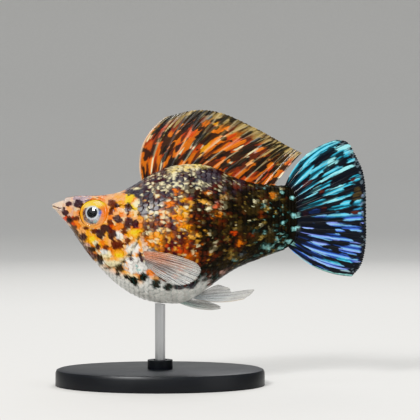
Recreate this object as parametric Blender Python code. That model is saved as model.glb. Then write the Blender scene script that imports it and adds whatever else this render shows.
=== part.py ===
"""A male balloon molly, life size, held level on a plain display stand.

Metres, +Z up. The fish faces -X and shows its left flank to -Y. The origin is the centre of
the stand's underside. Inside the fish, x is the distance behind the tip of the jaws and z the
height above it, in hundredths of the total length, and the empty fish_frame carries that frame.
"""

import math

import bmesh
import bpy
import numpy as np
from mathutils import Matrix, Vector

# Driving dimensions
MM = 0.001
TOTAL_LENGTH = 60 * MM  # jaw tip to the end of the tail fin
PART = TOTAL_LENGTH / 100  # one hundredth of the fish's length
GAP = 0.3 * MM  # kept between pieces that touch

# Side outline of head and body: (x, z) knots, then half widths (x, y)
BACK = [(4.1, 2.2), (5.4, 2.7), (15, 3.1), (21.7, 4.3), (29.3, 8.3), (37.6, 11.9),
        (44, 12.8), (50, 12.1), (58, 8.7), (66, 6.5), (76, 6.5)]
BELLY = [(4.1, -5.1), (12.1, -16.2), (21.7, -25.8), (29.3, -29.9), (37.6, -31.2), (42.5, -30.8),
         (47.1, -28.2), (50.5, -25.6), (58, -20.4), (66, -17.0), (76, -13.4)]
HALF_WIDTH = [(4.1, 4.0), (9, 6.7), (18.5, 9.7), (29.3, 12.2), (37.6, 12.8), (44.6, 11.6),
              (53.5, 8.5), (63, 5.8), (76, 2.3)]
# Where the section is widest, as a share of the way from belly to back
WIDEST = [(4.1, 0.55), (14, 0.62), (30, 0.46), (50, 0.45), (76, 0.5)]
# Squareness of the section above and below that level; 2 is an ellipse
SQUARE_BACK = [(4.1, 2.4), (14, 2.9), (26, 2.1), (45, 1.8), (76, 2.0)]
SQUARE_BELLY = [(4.1, 1.9), (14, 1.9), (30, 2.3), (50, 2.0), (76, 2.0)]
BODY_START, BODY_END = 4.1, 76.0
BODY_RINGS, RING_SIDES = 46, 40
RING_CROWDING = 0.09  # how much closer together the rings stand at the snout and the tail
END_RIM = 0.86  # size of the rings that round off both ends

# Jaws, in front of the head
JAW_TOP = [(0.1, 0.4), (1.3, 0.9), (2.5, 1.35), (3.6, 1.7)]
JAW_BOTTOM = [(0.1, -0.7), (1.3, -1.8), (2.5, -3.3), (3.6, -4.6)]
JAW_HALF_WIDTH = [(0.1, 1.2), (1.0, 2.4), (2.2, 3.3), (3.6, 3.9)]
JAW_RINGS, JAW_SIDES = 8, 24
MOUTH_TIP, MOUTH_SLOPE = -0.15, -0.33  # height at the tip, and fall towards the corners
LIP_RADIUS, LIP_LIFT = 0.42, 0.66  # of the lip, and its middle above or below the mouth
LIP_SPOTS = [3.3, 2.4, 1.5, 0.7]  # from the corner of the mouth to the tip
LIP_INSET, LIP_FRONT, LIP_NARROW = 0.25, 0.3, 0.8  # from the jaw's side, tip's x, and its share there
JAW_SQUARE_UP, JAW_SQUARE_DOWN = 2.2, 2.0

# Head
HEAD_CUT_TOP, HEAD_CUT_BOTTOM = (25.5, 6.4), (19.9, -23.9)  # join with the trunk, side view
EYE_CENTRE, EYE_RADIUS = (13.8, -2.5), 4.3
EYE_DEPTH, EYE_BULGE = 2.6, 1.5  # half depth of the ball, and how far it stands out of the skin
NOSTRILS = [(7.0, 1.1), (8.4, 1.5)]
NOSTRIL_RADIUS = 0.45
EYE_SIDES, NOSTRIL_SIDES = 24, 8
GILL_COVER = [(20.0, -0.8), (24.2, -0.4), (27.5, -2.6), (28.7, -7.0), (27.6, -11.4), (25.2, -15.2),
              (22.0, -18.4), (18.8, -19.2), (16.6, -16.4), (17.4, -10.8), (18.6, -5.1)]
COVER_PROUD, COVER_SUNK = 0.2 * MM, 0.4 * MM  # outside and inside the skin
SLAB_REACH = 20  # from the fish's middle to well outside the gill cover

# Join of trunk and tail stalk
TAIL_CUT = 58.5

# Fins: half thickness of the membrane, and what a ray adds to it
MEMBRANE, RAY = 0.25 * MM, 0.2 * MM
ROOT_SMOOTH = 0.2  # share of a ray over which its ridge rises out of the smooth root
NOTCH = 0.035  # how far the margin falls back between two rays
EDGE_TAPER = 0.35  # share of its thickness that a fin loses out to the margin

# Stand
BASE_LENGTH, BASE_DEPTH, BASE_THICK = 40 * MM, 26 * MM, 3.2 * MM
BASE_BEVEL = 0.8 * MM
BASE_SIDES, SOCKET_SIDES, ROD_SIDES = 48, 24, 20
SOCKET_RADIUS, SOCKET_HEIGHT = 2.4 * MM, 1.6 * MM
SOCKET_SINK = 1.2 * MM  # how far the rod goes below the top of the base
ROD_RADIUS = 1.0 * MM
ROD_AT = 34.4  # where the rod meets the belly, behind the jaw tip
CLEARANCE = 12.5 * MM  # between base and belly

COLOURS = {
    "skin": (0.55, 0.20, 0.05, 1), "eye": (0.05, 0.05, 0.06, 1), "cover": (0.72, 0.36, 0.06, 1),
    "lip": (0.66, 0.52, 0.38, 1), "orange_fin": (0.42, 0.16, 0.03, 1),
    "blue_fin": (0.03, 0.24, 0.36, 1), "clear_fin": (0.55, 0.55, 0.52, 1),
    "stand": (0.02, 0.02, 0.02, 1), "steel": (0.55, 0.55, 0.55, 1),
}


def through(knots, at):
    """Smooth curve through the knots (position, value), read at a position."""
    xs, ys = (np.array(column, float) for column in zip(*knots))
    steps = np.diff(ys) / np.diff(xs)
    slopes = np.concatenate(([steps[0]], (steps[:-1] + steps[1:]) / 2, [steps[-1]]))
    at = np.clip(at, xs[0], xs[-1])
    i = np.clip(np.searchsorted(xs, at, side="right") - 1, 0, len(xs) - 2)
    span = xs[i + 1] - xs[i]
    u = (at - xs[i]) / span
    return float(
        ys[i] * (2 * u**3 - 3 * u**2 + 1) + ys[i + 1] * (3 * u**2 - 2 * u**3)
        + slopes[i] * span * (u**3 - 2 * u**2 + u) + slopes[i + 1] * span * (u**3 - u**2)
    )


def body_section(x):
    """Middle height, half width, rise and fall of the body's section at x, and its squareness."""
    x = min(max(x, BODY_START), BODY_END)
    top, bottom = through(BACK, x), through(BELLY, x)
    middle = bottom + through(WIDEST, x) * (top - bottom)
    return {
        "middle": middle, "half_width": through(HALF_WIDTH, x),
        "rise": top - middle, "fall": middle - bottom,
        "square_up": through(SQUARE_BACK, x), "square_down": through(SQUARE_BELLY, x),
    }


def body_half_width(x, z):
    """Half width of the body at the point (x, z) of the side view."""
    section = body_section(x)
    up = z > section["middle"]
    reach, power = ("rise", "square_up") if up else ("fall", "square_down")
    share = min(abs(z - section["middle"]) / section[reach], 1)
    return section["half_width"] * (1 - share ** section[power]) ** (1 / section[power])


def section_ring(x, section, sides, grow=0.0):
    """Points round one section, from the back down the left flank and up the right."""
    ring = []
    for k in range(sides):
        angle = 2 * math.pi * k / sides
        side, up = math.sin(angle), math.cos(angle)
        power, reach = (("square_up", "rise") if up > 0 else ("square_down", "fall"))
        bend = 2 / section[power]
        y = math.copysign(abs(side) ** bend, side) * (section["half_width"] * PART + grow)
        z = math.copysign(abs(up) ** bend, up) * (section[reach] * PART + grow)
        ring.append(Vector((x * PART, -y, section["middle"] * PART + z)))
    return ring


def make_material(name):
    """Principled material of one of the fish's or the stand's colours."""
    if name in bpy.data.materials:
        return bpy.data.materials[name]
    material = bpy.data.materials.new(name)
    material.use_nodes = True
    shader = material.node_tree.nodes["Principled BSDF"]
    shader.inputs["Base Color"].default_value = COLOURS[name]
    shader.inputs["Roughness"].default_value = 0.3 if name in ("eye", "steel") else 0.45
    shader.inputs["Metallic"].default_value = 1.0 if name == "steel" else 0.0
    return material


def make_object(name, form, colour=None, parent=None, collection=None):
    """Object of that name from a bmesh, whose faces end as triangles."""
    bmesh.ops.triangulate(form, faces=[f for f in form.faces if len(f.verts) > 4])
    bmesh.ops.recalc_face_normals(form, faces=form.faces)
    mesh = bpy.data.meshes.new(name)
    form.to_mesh(mesh)
    form.free()
    made = bpy.data.objects.new(name, mesh)
    made.parent = parent or bpy.data.objects["fish_frame"]
    bpy.data.collections[collection or MODEL].objects.link(made)
    if colour:
        mesh.materials.append(make_material(colour))
    else:
        made.hide_render = True
        made.display_type = "WIRE"
    return made


def cutter(name, form):
    """Tool object, left out of the model."""
    return make_object(name, form, collection=CUTTERS)


def use_boolean(target, operation, tool):
    """Applies one Boolean to target with another object."""
    modifier = target.modifiers.new(operation.lower(), "BOOLEAN")
    modifier.operation = operation
    modifier.solver = "EXACT"
    modifier.object = tool
    bpy.context.view_layer.update()
    shape = bpy.data.meshes.new_from_object(
        target.evaluated_get(bpy.context.evaluated_depsgraph_get()))
    target.modifiers.clear()
    target.data = shape
    keep_largest(target)


def keep_largest(target):
    """Drops every closed surface of target but the largest, and merges doubled points."""
    form = bmesh.new()
    form.from_mesh(target.data)
    bmesh.ops.remove_doubles(form, verts=form.verts, dist=1e-7)
    waiting, islands = set(form.verts), []
    while waiting:
        island, edge = set(), [waiting.pop()]
        while edge:
            vert = edge.pop()
            island.add(vert)
            for link in vert.link_edges:
                other = link.other_vert(vert)
                if other in waiting:
                    waiting.discard(other)
                    edge.append(other)
        islands.append(island)
    islands.sort(key=len)
    for island in islands[:-1]:
        bmesh.ops.delete(form, geom=list(island), context="VERTS")
    form.to_mesh(target.data)
    form.free()


def loft(rings):
    """Closed bmesh through rings of as many points each, with flat ends."""
    form = bmesh.new()
    loops = [[form.verts.new(point) for point in ring] for ring in rings]
    for near, far in zip(loops, loops[1:]):
        for k in range(len(near)):
            following = (k + 1) % len(near)
            form.faces.new((near[k], near[following], far[following], far[k]))
    form.faces.new(loops[0])
    form.faces.new(reversed(loops[-1]))
    return form


def body_form(grow=0.0):
    """Head and body in one, larger all round by grow."""
    reach = grow / PART
    spread = np.linspace(0, 1, BODY_RINGS)
    spread = spread - RING_CROWDING * np.sin(2 * math.pi * spread)
    spots = BODY_START + (BODY_END - BODY_START) * spread
    rings = []
    for number, spot in enumerate(spots):
        shift = -reach if number == 0 else reach if number == BODY_RINGS - 1 else 0
        ring = section_ring(spot + shift, body_section(spot), RING_SIDES, grow)
        if number in (0, BODY_RINGS - 1):
            middle = sum(ring, Vector()) / RING_SIDES
            ring = [middle + END_RIM * (point - middle) for point in ring]
        rings.append(ring)
    return loft(rings)


def slice_form(form, point, normal):
    """Cuts away what lies beyond the plane, on the side that normal points to, and closes it."""
    cut = bmesh.ops.bisect_plane(
        form, geom=form.verts[:] + form.edges[:] + form.faces[:], dist=1e-8,
        plane_co=point, plane_no=normal, clear_outer=True)
    rim = [item for item in cut["geom_cut"] if isinstance(item, bmesh.types.BMEdge)]
    bmesh.ops.edgeloop_fill(form, edges=rim)
    return form


def side_outline(points, steps=4):
    """Smooth closed outline through points of the side view, as (x, z) pairs in metres."""
    closed = points[-1:] + points + points[:2]
    outline = []
    for before, start, end, after in zip(closed, closed[1:], closed[2:], closed[3:]):
        for step in range(steps):
            u = step / steps
            outline.append(tuple(
                PART * 0.5 * (2 * b + (c - a) * u + (2 * a - 5 * b + 4 * c - d) * u**2
                              + (3 * b - a - 3 * c + d) * u**3)
                for a, b, c, d in zip(before, start, end, after)))
    return outline


def grow_outline(outline, width):
    """The outline moved outwards by width, along its own normals."""
    grown = []
    middle = np.mean(outline, axis=0)
    for before, here, after in zip(outline[-1:] + outline, outline, outline[1:] + outline[:1]):
        along = np.subtract(after, before)
        out = np.array((along[1], -along[0])) / np.linalg.norm(along)
        if np.dot(out, np.subtract(here, middle)) < 0:
            out = -out
        grown.append(tuple(np.add(here, out * width)))
    return grown


def flank_prism(name, outline, side):
    """Slab of that side outline, from just off the fish's middle outwards to one side."""
    reach = SLAB_REACH * PART
    curve = bpy.data.curves.new(name, "CURVE")
    curve.dimensions = "2D"
    curve.fill_mode = "BOTH"
    curve.extrude = reach / 2
    spline = curve.splines.new("POLY")
    spline.points.add(len(outline) - 1)
    for point, (x, z) in zip(spline.points, outline):
        point.co = (x, z, 0, 1)
    spline.use_cyclic_u = True
    drawn = bpy.data.objects.new(name, curve)
    bpy.data.collections[CUTTERS].objects.link(drawn)
    bpy.context.view_layer.update()
    form = bmesh.new()
    form.from_mesh(bpy.data.meshes.new_from_object(
        drawn.evaluated_get(bpy.context.evaluated_depsgraph_get())))
    bpy.data.objects.remove(drawn)
    bmesh.ops.remove_doubles(form, verts=form.verts, dist=1e-7)
    stand_up = Matrix.Rotation(math.pi / 2, 4, "X")
    bmesh.ops.transform(form, verts=form.verts, matrix=stand_up)
    bmesh.ops.translate(form, verts=form.verts, vec=(0, side * (reach / 2 + GAP), 0))
    return cutter(name, form)


def ball(centre, out, radius, depth, sides):
    """Ball that is flattened along the direction out, as a bmesh."""
    form = bmesh.new()
    bmesh.ops.create_uvsphere(form, u_segments=sides, v_segments=sides // 2, radius=1)
    shape = (Matrix.Translation(centre) @ out.to_track_quat("Z", "Y").to_matrix().to_4x4()
             @ Matrix.Diagonal((radius, radius, depth, 1)))
    bmesh.ops.transform(form, verts=form.verts, matrix=shape)
    return form


def skin_at(x, z, side):
    """Point of the skin at (x, z) of the side view, and the direction out of it."""
    point = Vector((x, side * body_half_width(x, z), z)) * PART
    step = 3.0  # the slope is read this far to each side
    along, across = (
        (body_half_width(x + dx, z + dz) - body_half_width(x - dx, z - dz)) / (2 * step)
        for dx, dz in ((step, 0), (0, step)))
    return point, Vector((-along, side, -across)).normalized()


def eye_ball(side, grow=0.0):
    """Eyeball on one side, or its socket if it is grown."""
    point, out = skin_at(*EYE_CENTRE, side)
    centre = point + out * (EYE_BULGE - EYE_DEPTH) * PART
    return ball(centre, out, EYE_RADIUS * PART + grow, EYE_DEPTH * PART + grow, EYE_SIDES)


def make_body():
    """Head, trunk and tail stalk, parted by thin flat cuts."""
    top, bottom = (Vector((x, 0, z)) * PART for x, z in (HEAD_CUT_TOP, HEAD_CUT_BOTTOM))
    slope = (top - bottom).normalized()
    back = Vector((slope.z, 0, -slope.x))  # normal of the head's cut, towards the tail
    tail = Vector((TAIL_CUT * PART, 0, 0))
    half, along = GAP / 2, Vector((1, 0, 0))
    head = slice_form(body_form(), top - back * half, back)
    trunk = slice_form(body_form(), top + back * half, -back)
    trunk = slice_form(trunk, tail - along * half, along)
    stalk = slice_form(body_form(), tail + along * half, -along)
    return (make_object("head", head, "skin"), make_object("trunk", trunk, "skin"),
            make_object("tail_stalk", stalk, "skin"))


def make_eyes(head):
    """Both eyeballs, and the sockets that hold them."""
    for side, word in ((-1, "left"), (1, "right")):
        use_boolean(head, "DIFFERENCE", cutter(f"socket_{word}", eye_ball(side, GAP)))
        make_object(f"eye_{word}", eye_ball(side), "eye").data.shade_smooth()


def make_nostrils(head):
    """Two small pits a side, in front of the eyes."""
    radius = NOSTRIL_RADIUS * PART
    for number, (x, z) in enumerate(NOSTRILS):
        for side in (-1, 1):
            spot, out = skin_at(x, z, side)
            pit = ball(spot, out, radius, radius, NOSTRIL_SIDES)
            use_boolean(head, "DIFFERENCE", cutter(f"nostril_{number}_{side}", pit))


def make_gill_covers(head, trunk):
    """A loose plate over each gill, let into the skin and proud of it at the edge."""
    outline = side_outline(GILL_COVER)
    for side, word in ((-1, "left"), (1, "right")):
        plate = flank_prism(f"gill_cover_{word}", outline, side)
        use_boolean(plate, "INTERSECT", cutter(f"cover_outside_{word}", body_form(COVER_PROUD)))
        use_boolean(plate, "DIFFERENCE", cutter(f"cover_inside_{word}", body_form(-COVER_SUNK)))
        recess = flank_prism(f"recess_{word}", grow_outline(outline, GAP), side)
        floor = cutter(f"recess_floor_{word}", body_form(-COVER_SUNK - GAP))
        use_boolean(recess, "DIFFERENCE", floor)
        for node in (head, trunk):
            use_boolean(node, "DIFFERENCE", recess)
        show(plate, "cover")


def show(made, colour):
    """Moves an object that was shaped as a tool into the model."""
    bpy.data.collections[CUTTERS].objects.unlink(made)
    bpy.data.collections[MODEL].objects.link(made)
    made.hide_render = False
    made.display_type = "TEXTURED"
    made.data.materials.clear()
    made.data.materials.append(make_material(colour))


def jaw_form():
    """Both jaws in one, from their tip back to the head."""
    rings = []
    for x in np.linspace(JAW_TOP[0][0], JAW_TOP[-1][0], JAW_RINGS):
        top, bottom = through(JAW_TOP, x), through(JAW_BOTTOM, x)
        middle = MOUTH_TIP + MOUTH_SLOPE * x
        section = {"middle": middle, "half_width": through(JAW_HALF_WIDTH, x),
                   "rise": top - middle, "fall": middle - bottom,
                   "square_up": JAW_SQUARE_UP, "square_down": JAW_SQUARE_DOWN}
        rings.append(section_ring(x, section, JAW_SIDES))
    return loft(rings)


def lip(name, lift):
    """Rounded lip along the line of the mouth, from one corner round the tip to the other."""
    curve = bpy.data.curves.new(name, "CURVE")
    curve.dimensions = "3D"
    curve.bevel_depth = LIP_RADIUS * PART
    curve.bevel_resolution = 1
    curve.use_fill_caps = True
    route = [(x, LIP_INSET - through(JAW_HALF_WIDTH, x), 1) for x in LIP_SPOTS]
    route += [(LIP_FRONT, 0, LIP_NARROW)]
    route += [(x, -y, size) for x, y, size in reversed(route[:-1])]
    spline = curve.splines.new("POLY")
    spline.points.add(len(route) - 1)
    for point, (x, y, size) in zip(spline.points, route):
        point.co = (*(Vector((x, y, MOUTH_TIP + MOUTH_SLOPE * x + lift)) * PART), 1)
        point.radius = size
    drawn = bpy.data.objects.new(name, curve)
    bpy.data.collections[CUTTERS].objects.link(drawn)
    bpy.context.view_layer.update()
    form = bmesh.new()
    form.from_mesh(bpy.data.meshes.new_from_object(
        drawn.evaluated_get(bpy.context.evaluated_depsgraph_get())))
    bpy.data.objects.remove(drawn)
    bmesh.ops.remove_doubles(form, verts=form.verts, dist=1e-7)
    return cutter(name, form)


def make_jaws():
    """Upper and lower jaw with their lips, parted along the line of the mouth."""
    rise = Vector((-MOUTH_SLOPE, 0, 1)).normalized()
    mouth = Vector((0, 0, MOUTH_TIP * PART))
    for word, up in (("upper", 1), ("lower", -1)):
        form = slice_form(jaw_form(), mouth + rise * up * GAP / 2, -rise * up)
        jaw = make_object(f"jaw_{word}", form, "lip")
        use_boolean(jaw, "UNION", lip(f"lip_{word}", up * LIP_LIFT))


def ray_point(fin, s, t):
    """Point of the side view at share t along the ray that starts at share s of the root."""
    root, tip = (Vector([through([(k, p[axis]) for k, p in fin[line]], s) for axis in (0, 1)])
                 for line in ("root", "tips"))
    along = tip - root
    across = Vector((-along.y, along.x)).normalized()
    bend = (root + tip) / 2 + across * through(fin["bow"], s)
    if t < 0:
        return root - Vector(fin["sink"]) * t
    return root * (1 - t) ** 2 + bend * 2 * t * (1 - t) + tip * t * t


def ridge(place, t, fork):
    """Share of a ray's ridge at a place between two rays, where a ray forks beyond fork."""
    quarter = 0.25
    off = min(place, 1 - place)
    if t > fork:
        off = abs(off - quarter)
    return max(0.0, 1 - off / quarter) * min(max(t / ROOT_SMOOTH, 0.0), 1.0)


def fin_point(fin, s, t):
    """Point of the fin's middle sheet, in metres."""
    x, z = ray_point(fin, s, t)
    return Vector((x, fin["sideways"](s, t), z)) * PART


def fin_normal(fin, s, t):
    """Unit normal of the fin's middle sheet, on its left face."""
    step = 0.01
    across = fin_point(fin, min(s + step, 1), t) - fin_point(fin, max(s - step, 0), t)
    along = fin_point(fin, s, t + step) - fin_point(fin, s, t - step)
    normal = across.cross(along).normalized()
    return -normal if normal.y > 0 else normal


def fin_form(fin):
    """Fin as one closed sheet whose rays stand up as ridges on both of its faces."""
    fork = fin.get("fork", 2)
    part = 4 if fork <= 1 else 2
    columns = part * (fin["rays"] - 1) + 1
    levels = [-1] + list(np.linspace(0, 1, fin["rows"]))
    form = bmesh.new()
    left, right = [], []
    for column in range(columns):
        s = column / (columns - 1)
        place = (column % part) / part
        left.append([])
        right.append([])
        for t in levels:
            crest = ridge(place, t, fork)
            reach = t * (1 - NOTCH * (1 - crest)) if t > 0 else t
            middle = fin_point(fin, s, reach)
            tip = 1 - EDGE_TAPER * max(t, 0) ** 3
            half = fin_normal(fin, s, max(reach, 0)) * (MEMBRANE + RAY * crest) * tip
            left[-1].append(form.verts.new(middle + half))
            right[-1].append(form.verts.new(middle - half))
    rows = len(levels)
    for i in range(columns - 1):
        for j in range(rows - 1):
            corners = ((i, j), (i + 1, j), (i + 1, j + 1), (i, j + 1))
            for sheet in (left, right):
                a, b, c, d = (sheet[m][n] for m, n in corners)
                form.faces.new((a, b, c))
                form.faces.new((a, c, d))
    rim = ([(i, 0) for i in range(columns)] + [(columns - 1, j) for j in range(1, rows)]
           + [(i, rows - 1) for i in range(columns - 2, -1, -1)] + [(0, j) for j in range(rows - 2, 0, -1)])
    for (i, j), (m, n) in zip(rim, rim[1:] + rim[:1]):
        form.faces.new((left[i][j], left[m][n], right[m][n], right[i][j]))
    return form


def line_of(knots, start, end, count=5):
    """Root of a fin along part of the outline, as knots of ray_point."""
    return [(k, (start + (end - start) * k, through(knots, start + (end - start) * k)))
            for k in np.linspace(0, 1, count)]


DORSAL_FIN = {
    "rays": 14, "rows": 9, "fork": 0.6,
    "root": line_of(BACK, 28.4, 71.0, 9), "sink": (0, -1.6),
    "tips": [(0, (36.3, 28.3)), (0.14, (45.5, 30.4)), (0.28, (53.8, 29.5)), (0.44, (64.6, 24.7)),
             (0.58, (70.1, 21.8)), (0.77, (75.2, 19.0)), (1, (79.6, 16.7))],
    "bow": [(0, 7.6), (0.1, 4.6), (0.28, 2.4), (1, 0.8)],
    "sideways": lambda s, t: 1.3 * max(t, 0) * math.sin(2 * math.pi * (1.25 * s + 0.25 * t)),
}
TAIL_FIN = {
    "rays": 16, "rows": 9, "fork": 0.5,
    "root": [(0, (73.9, 5.6)), (0.5, (75.7, -3.5)), (1, (75.0, -13.0))], "sink": (-1.6, 0),
    "tips": [(0, (90.8, 21.0)), (0.09, (94.3, 20.2)), (0.2, (97.1, 15.6)), (0.32, (99.2, 10.8)),
             (0.44, (100, 4.8)), (0.56, (100, -2.9)), (0.67, (100, -9.2)), (0.78, (99.5, -14.7)),
             (0.9, (98.1, -19.4)), (1, (95.5, -22.6))],
    "bow": [(0, 6.1), (0.2, 2.1), (0.5, 0), (0.8, -1.5), (1, -4.8)],
    "sideways": lambda s, t: 1.6 * max(t, 0) ** 2 * math.sin(2 * math.pi * (0.8 * s + 0.12)),
}
PECTORAL_FIN = {
    "rays": 12, "rows": 7,
    "root": [(0, (27.9, -14.2)), (1, (29.6, -18.0))], "sink": (-1.0, 0),
    "tips": [(0, (46.2, -17.7)), (0.2, (47.5, -19.4)), (0.4, (47.1, -21.3)), (0.6, (44.9, -23.6)),
             (0.8, (41.6, -24.6)), (1, (38.2, -24.0))],
    "bow": [(0, 2.2), (0.4, 0.6), (1, -0.6)],
    "sideways": lambda s, t: -(11.6 - 0.3 * s * s + (6.0 * t + 3.0 * t * (1 - t) ** 2 if t > 0 else 3 * t)),
}
PELVIC_FIN = {
    "rays": 6, "rows": 7,
    "root": [(0, (39.8, -30.6)), (1, (43.4, -29.8))], "sink": (-0.5, 1.6),
    "tips": [(0, (51.0, -33.1)), (0.4, (53.8, -32.5)), (0.7, (51.0, -31.3)), (1, (47.6, -30.4))],
    "bow": [(0, -1.4), (1, -0.3)],
    "sideways": lambda s, t: -(2.4 + 1.4 * t),
}
GONOPODIUM = {
    "rays": 7, "rows": 8,
    "root": line_of(BELLY, 44.8, 48.4, 3), "sink": (-0.9, 1.4),
    "tips": [(0, (61.1, -29.9)), (0.17, (63.4, -28.3)), (0.34, (64.3, -26.8)), (0.5, (60.5, -27.1)),
             (0.67, (57.2, -27.6)), (0.84, (56.4, -26.3)), (1, (52.9, -25.2))],
    "bow": [(0, -2.2), (0.4, -0.8), (1, 0.3)],
    "sideways": lambda s, t: 0.0,
}


def make_fin(name, fin, colour):
    """One fin, its root trimmed to lie a gap above the skin."""
    made = make_object(name, fin_form(fin), colour)
    use_boolean(made, "DIFFERENCE", cutter(f"clear_of_{name}", body_form(GAP)))
    return made


def mirror_copy(made, name):
    """The same piece on the other flank."""
    form = bmesh.new()
    form.from_mesh(made.data)
    bmesh.ops.transform(form, verts=form.verts, matrix=Matrix.Diagonal((1, -1, 1, 1)))
    return make_object(name, form, made.data.materials[0].name)


def make_fins():
    """Dorsal fin, tail fin, gonopodium, and the pectoral and pelvic pairs."""
    make_fin("dorsal_fin", DORSAL_FIN, "orange_fin")
    make_fin("tail_fin", TAIL_FIN, "blue_fin")
    make_fin("gonopodium", GONOPODIUM, "clear_fin")
    for kind, fin in (("pectoral", PECTORAL_FIN), ("pelvic", PELVIC_FIN)):
        mirror_copy(make_fin(f"{kind}_fin_left", fin, "clear_fin"), f"{kind}_fin_right")


def cylinder(radius, low, high, sides):
    """Upright cylinder on the Z axis, as a bmesh."""
    form = bmesh.new()
    bmesh.ops.create_cone(form, cap_ends=True, segments=sides, radius1=radius, radius2=radius,
                          depth=high - low, matrix=Matrix.Translation((0, 0, (low + high) / 2)))
    return form


def make_stand(world):
    """Oval base with a socket, and the rod that carries the fish."""
    form = cylinder(1, 0, BASE_THICK, BASE_SIDES)
    oval = Matrix.Diagonal((BASE_LENGTH / 2, BASE_DEPTH / 2, 1, 1))
    bmesh.ops.transform(form, verts=form.verts, matrix=oval)
    upper = [edge for edge in form.edges if all(v.co.z > BASE_THICK - 1e-6 for v in edge.verts)]
    bmesh.ops.bevel(form, geom=upper, offset=BASE_BEVEL, segments=2, profile=0.5, affect="EDGES")
    base = make_object("stand_base", form, "stand", parent=world)
    boss_top = BASE_THICK + SOCKET_HEIGHT
    boss = cylinder(SOCKET_RADIUS, BASE_THICK - MM, boss_top, SOCKET_SIDES)
    use_boolean(base, "UNION", make_object("boss", boss, parent=world, collection=CUTTERS))
    floor = BASE_THICK - SOCKET_SINK
    hole = cylinder(ROD_RADIUS + GAP, floor, boss_top + MM, SOCKET_SIDES)
    use_boolean(base, "DIFFERENCE", make_object("rod_hole", hole, parent=world, collection=CUTTERS))
    inside_belly = BASE_THICK + CLEARANCE + 5 * ROD_RADIUS
    rod_form = cylinder(ROD_RADIUS, floor + GAP, inside_belly, ROD_SIDES)
    rod = make_object("stand_rod", rod_form, "steel", parent=world)
    use_boolean(rod, "DIFFERENCE", cutter("clear_of_rod", body_form(GAP)))


MODEL, CUTTERS = "balloon_molly", "cutters"
AXIS_HEIGHT = BASE_THICK + CLEARANCE - through(BELLY, ROD_AT) * PART  # of the jaw tip


def main():
    """Clears the scene and builds every node."""
    for old in list(bpy.data.objects):
        bpy.data.objects.remove(old)
    for name in (MODEL, CUTTERS):
        bpy.context.scene.collection.children.link(bpy.data.collections.new(name))
    world = bpy.data.objects.new("stand_frame", None)
    fish = bpy.data.objects.new("fish_frame", None)
    fish.location = (-ROD_AT * PART, 0, AXIS_HEIGHT)
    for empty in (world, fish):
        bpy.data.collections[MODEL].objects.link(empty)
    bpy.context.view_layer.update()
    head, trunk, _ = make_body()
    make_gill_covers(head, trunk)
    make_eyes(head)
    make_nostrils(head)
    make_jaws()
    make_fins()
    make_stand(world)


main()
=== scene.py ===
import math

import bpy
import numpy as np
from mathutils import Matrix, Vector


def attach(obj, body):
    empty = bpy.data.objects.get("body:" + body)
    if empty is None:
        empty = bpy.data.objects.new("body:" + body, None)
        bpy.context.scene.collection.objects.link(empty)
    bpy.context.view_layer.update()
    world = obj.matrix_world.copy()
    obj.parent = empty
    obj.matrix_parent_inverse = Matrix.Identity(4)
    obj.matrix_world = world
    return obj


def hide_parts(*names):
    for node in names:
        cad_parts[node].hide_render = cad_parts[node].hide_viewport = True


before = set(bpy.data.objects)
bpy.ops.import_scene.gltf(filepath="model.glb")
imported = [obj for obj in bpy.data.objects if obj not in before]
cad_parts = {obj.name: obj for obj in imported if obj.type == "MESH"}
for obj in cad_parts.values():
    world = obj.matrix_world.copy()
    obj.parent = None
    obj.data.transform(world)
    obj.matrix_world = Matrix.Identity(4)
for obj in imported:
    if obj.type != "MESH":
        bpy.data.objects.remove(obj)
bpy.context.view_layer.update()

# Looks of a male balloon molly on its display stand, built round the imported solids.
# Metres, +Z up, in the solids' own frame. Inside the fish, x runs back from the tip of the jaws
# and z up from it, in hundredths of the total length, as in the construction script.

# Sizes shared with the construction script
MM = 0.001
PART = 60 * MM / 100  # one hundredth of the fish's total length
BACK = [(0, 0.05), (0.4, 0.45), (1.3, 0.85), (2.5, 1.28), (3.5, 1.62), (4.1, 2.1), (5.4, 2.7), (15, 3.1),
        (21.7, 4.3), (29.3, 8.3), (37.6, 11.9), (44, 12.8), (50, 12.1), (58, 8.7), (66, 6.5), (76, 6.5)]
BELLY = [(0, -0.3), (0.4, -0.8), (1.3, -1.8), (2.5, -3.3), (4.1, -5.1), (12.1, -16.2), (21.7, -25.8),
         (29.3, -29.9), (37.6, -31.2), (42.5, -30.8), (47.1, -28.2), (50.5, -25.6), (58, -20.4),
         (66, -17.0), (76, -13.4)]
HALF_WIDTH = [(0, 0.9), (0.4, 1.5), (1.0, 2.2), (2.2, 3.1), (3.6, 3.8), (4.1, 4.0), (9, 6.7), (18.5, 9.7),
              (29.3, 12.2), (37.6, 12.8), (44.6, 11.6), (53.5, 8.5), (63, 5.8), (76, 2.3)]
WIDEST = [(0, 0.5), (4.1, 0.55), (14, 0.62), (30, 0.46), (50, 0.45), (76, 0.5)]
SQUARE_BACK = [(0, 2.2), (4.1, 2.4), (14, 2.9), (26, 2.1), (45, 1.8), (76, 2.0)]
SQUARE_BELLY = [(0, 2.0), (4.1, 1.9), (14, 1.9), (30, 2.3), (50, 2.0), (76, 2.0)]
EYE_CENTRE, EYE_RADIUS, PUPIL = (13.8, -2.5), 4.3, 1.78
EYE_DEPTH, EYE_BULGE = 2.6, 1.5
GILL_COVER = [(20.0, -0.8), (24.2, -0.4), (27.5, -2.6), (28.7, -7.0), (27.6, -11.4), (25.2, -15.2),
              (22.0, -18.4), (18.8, -19.2), (16.6, -16.4), (17.4, -10.8), (18.6, -5.1)]
ROD_AT, CLEARANCE, BASE_THICK = 34.4, 12.5 * MM, 3.2 * MM

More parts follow.
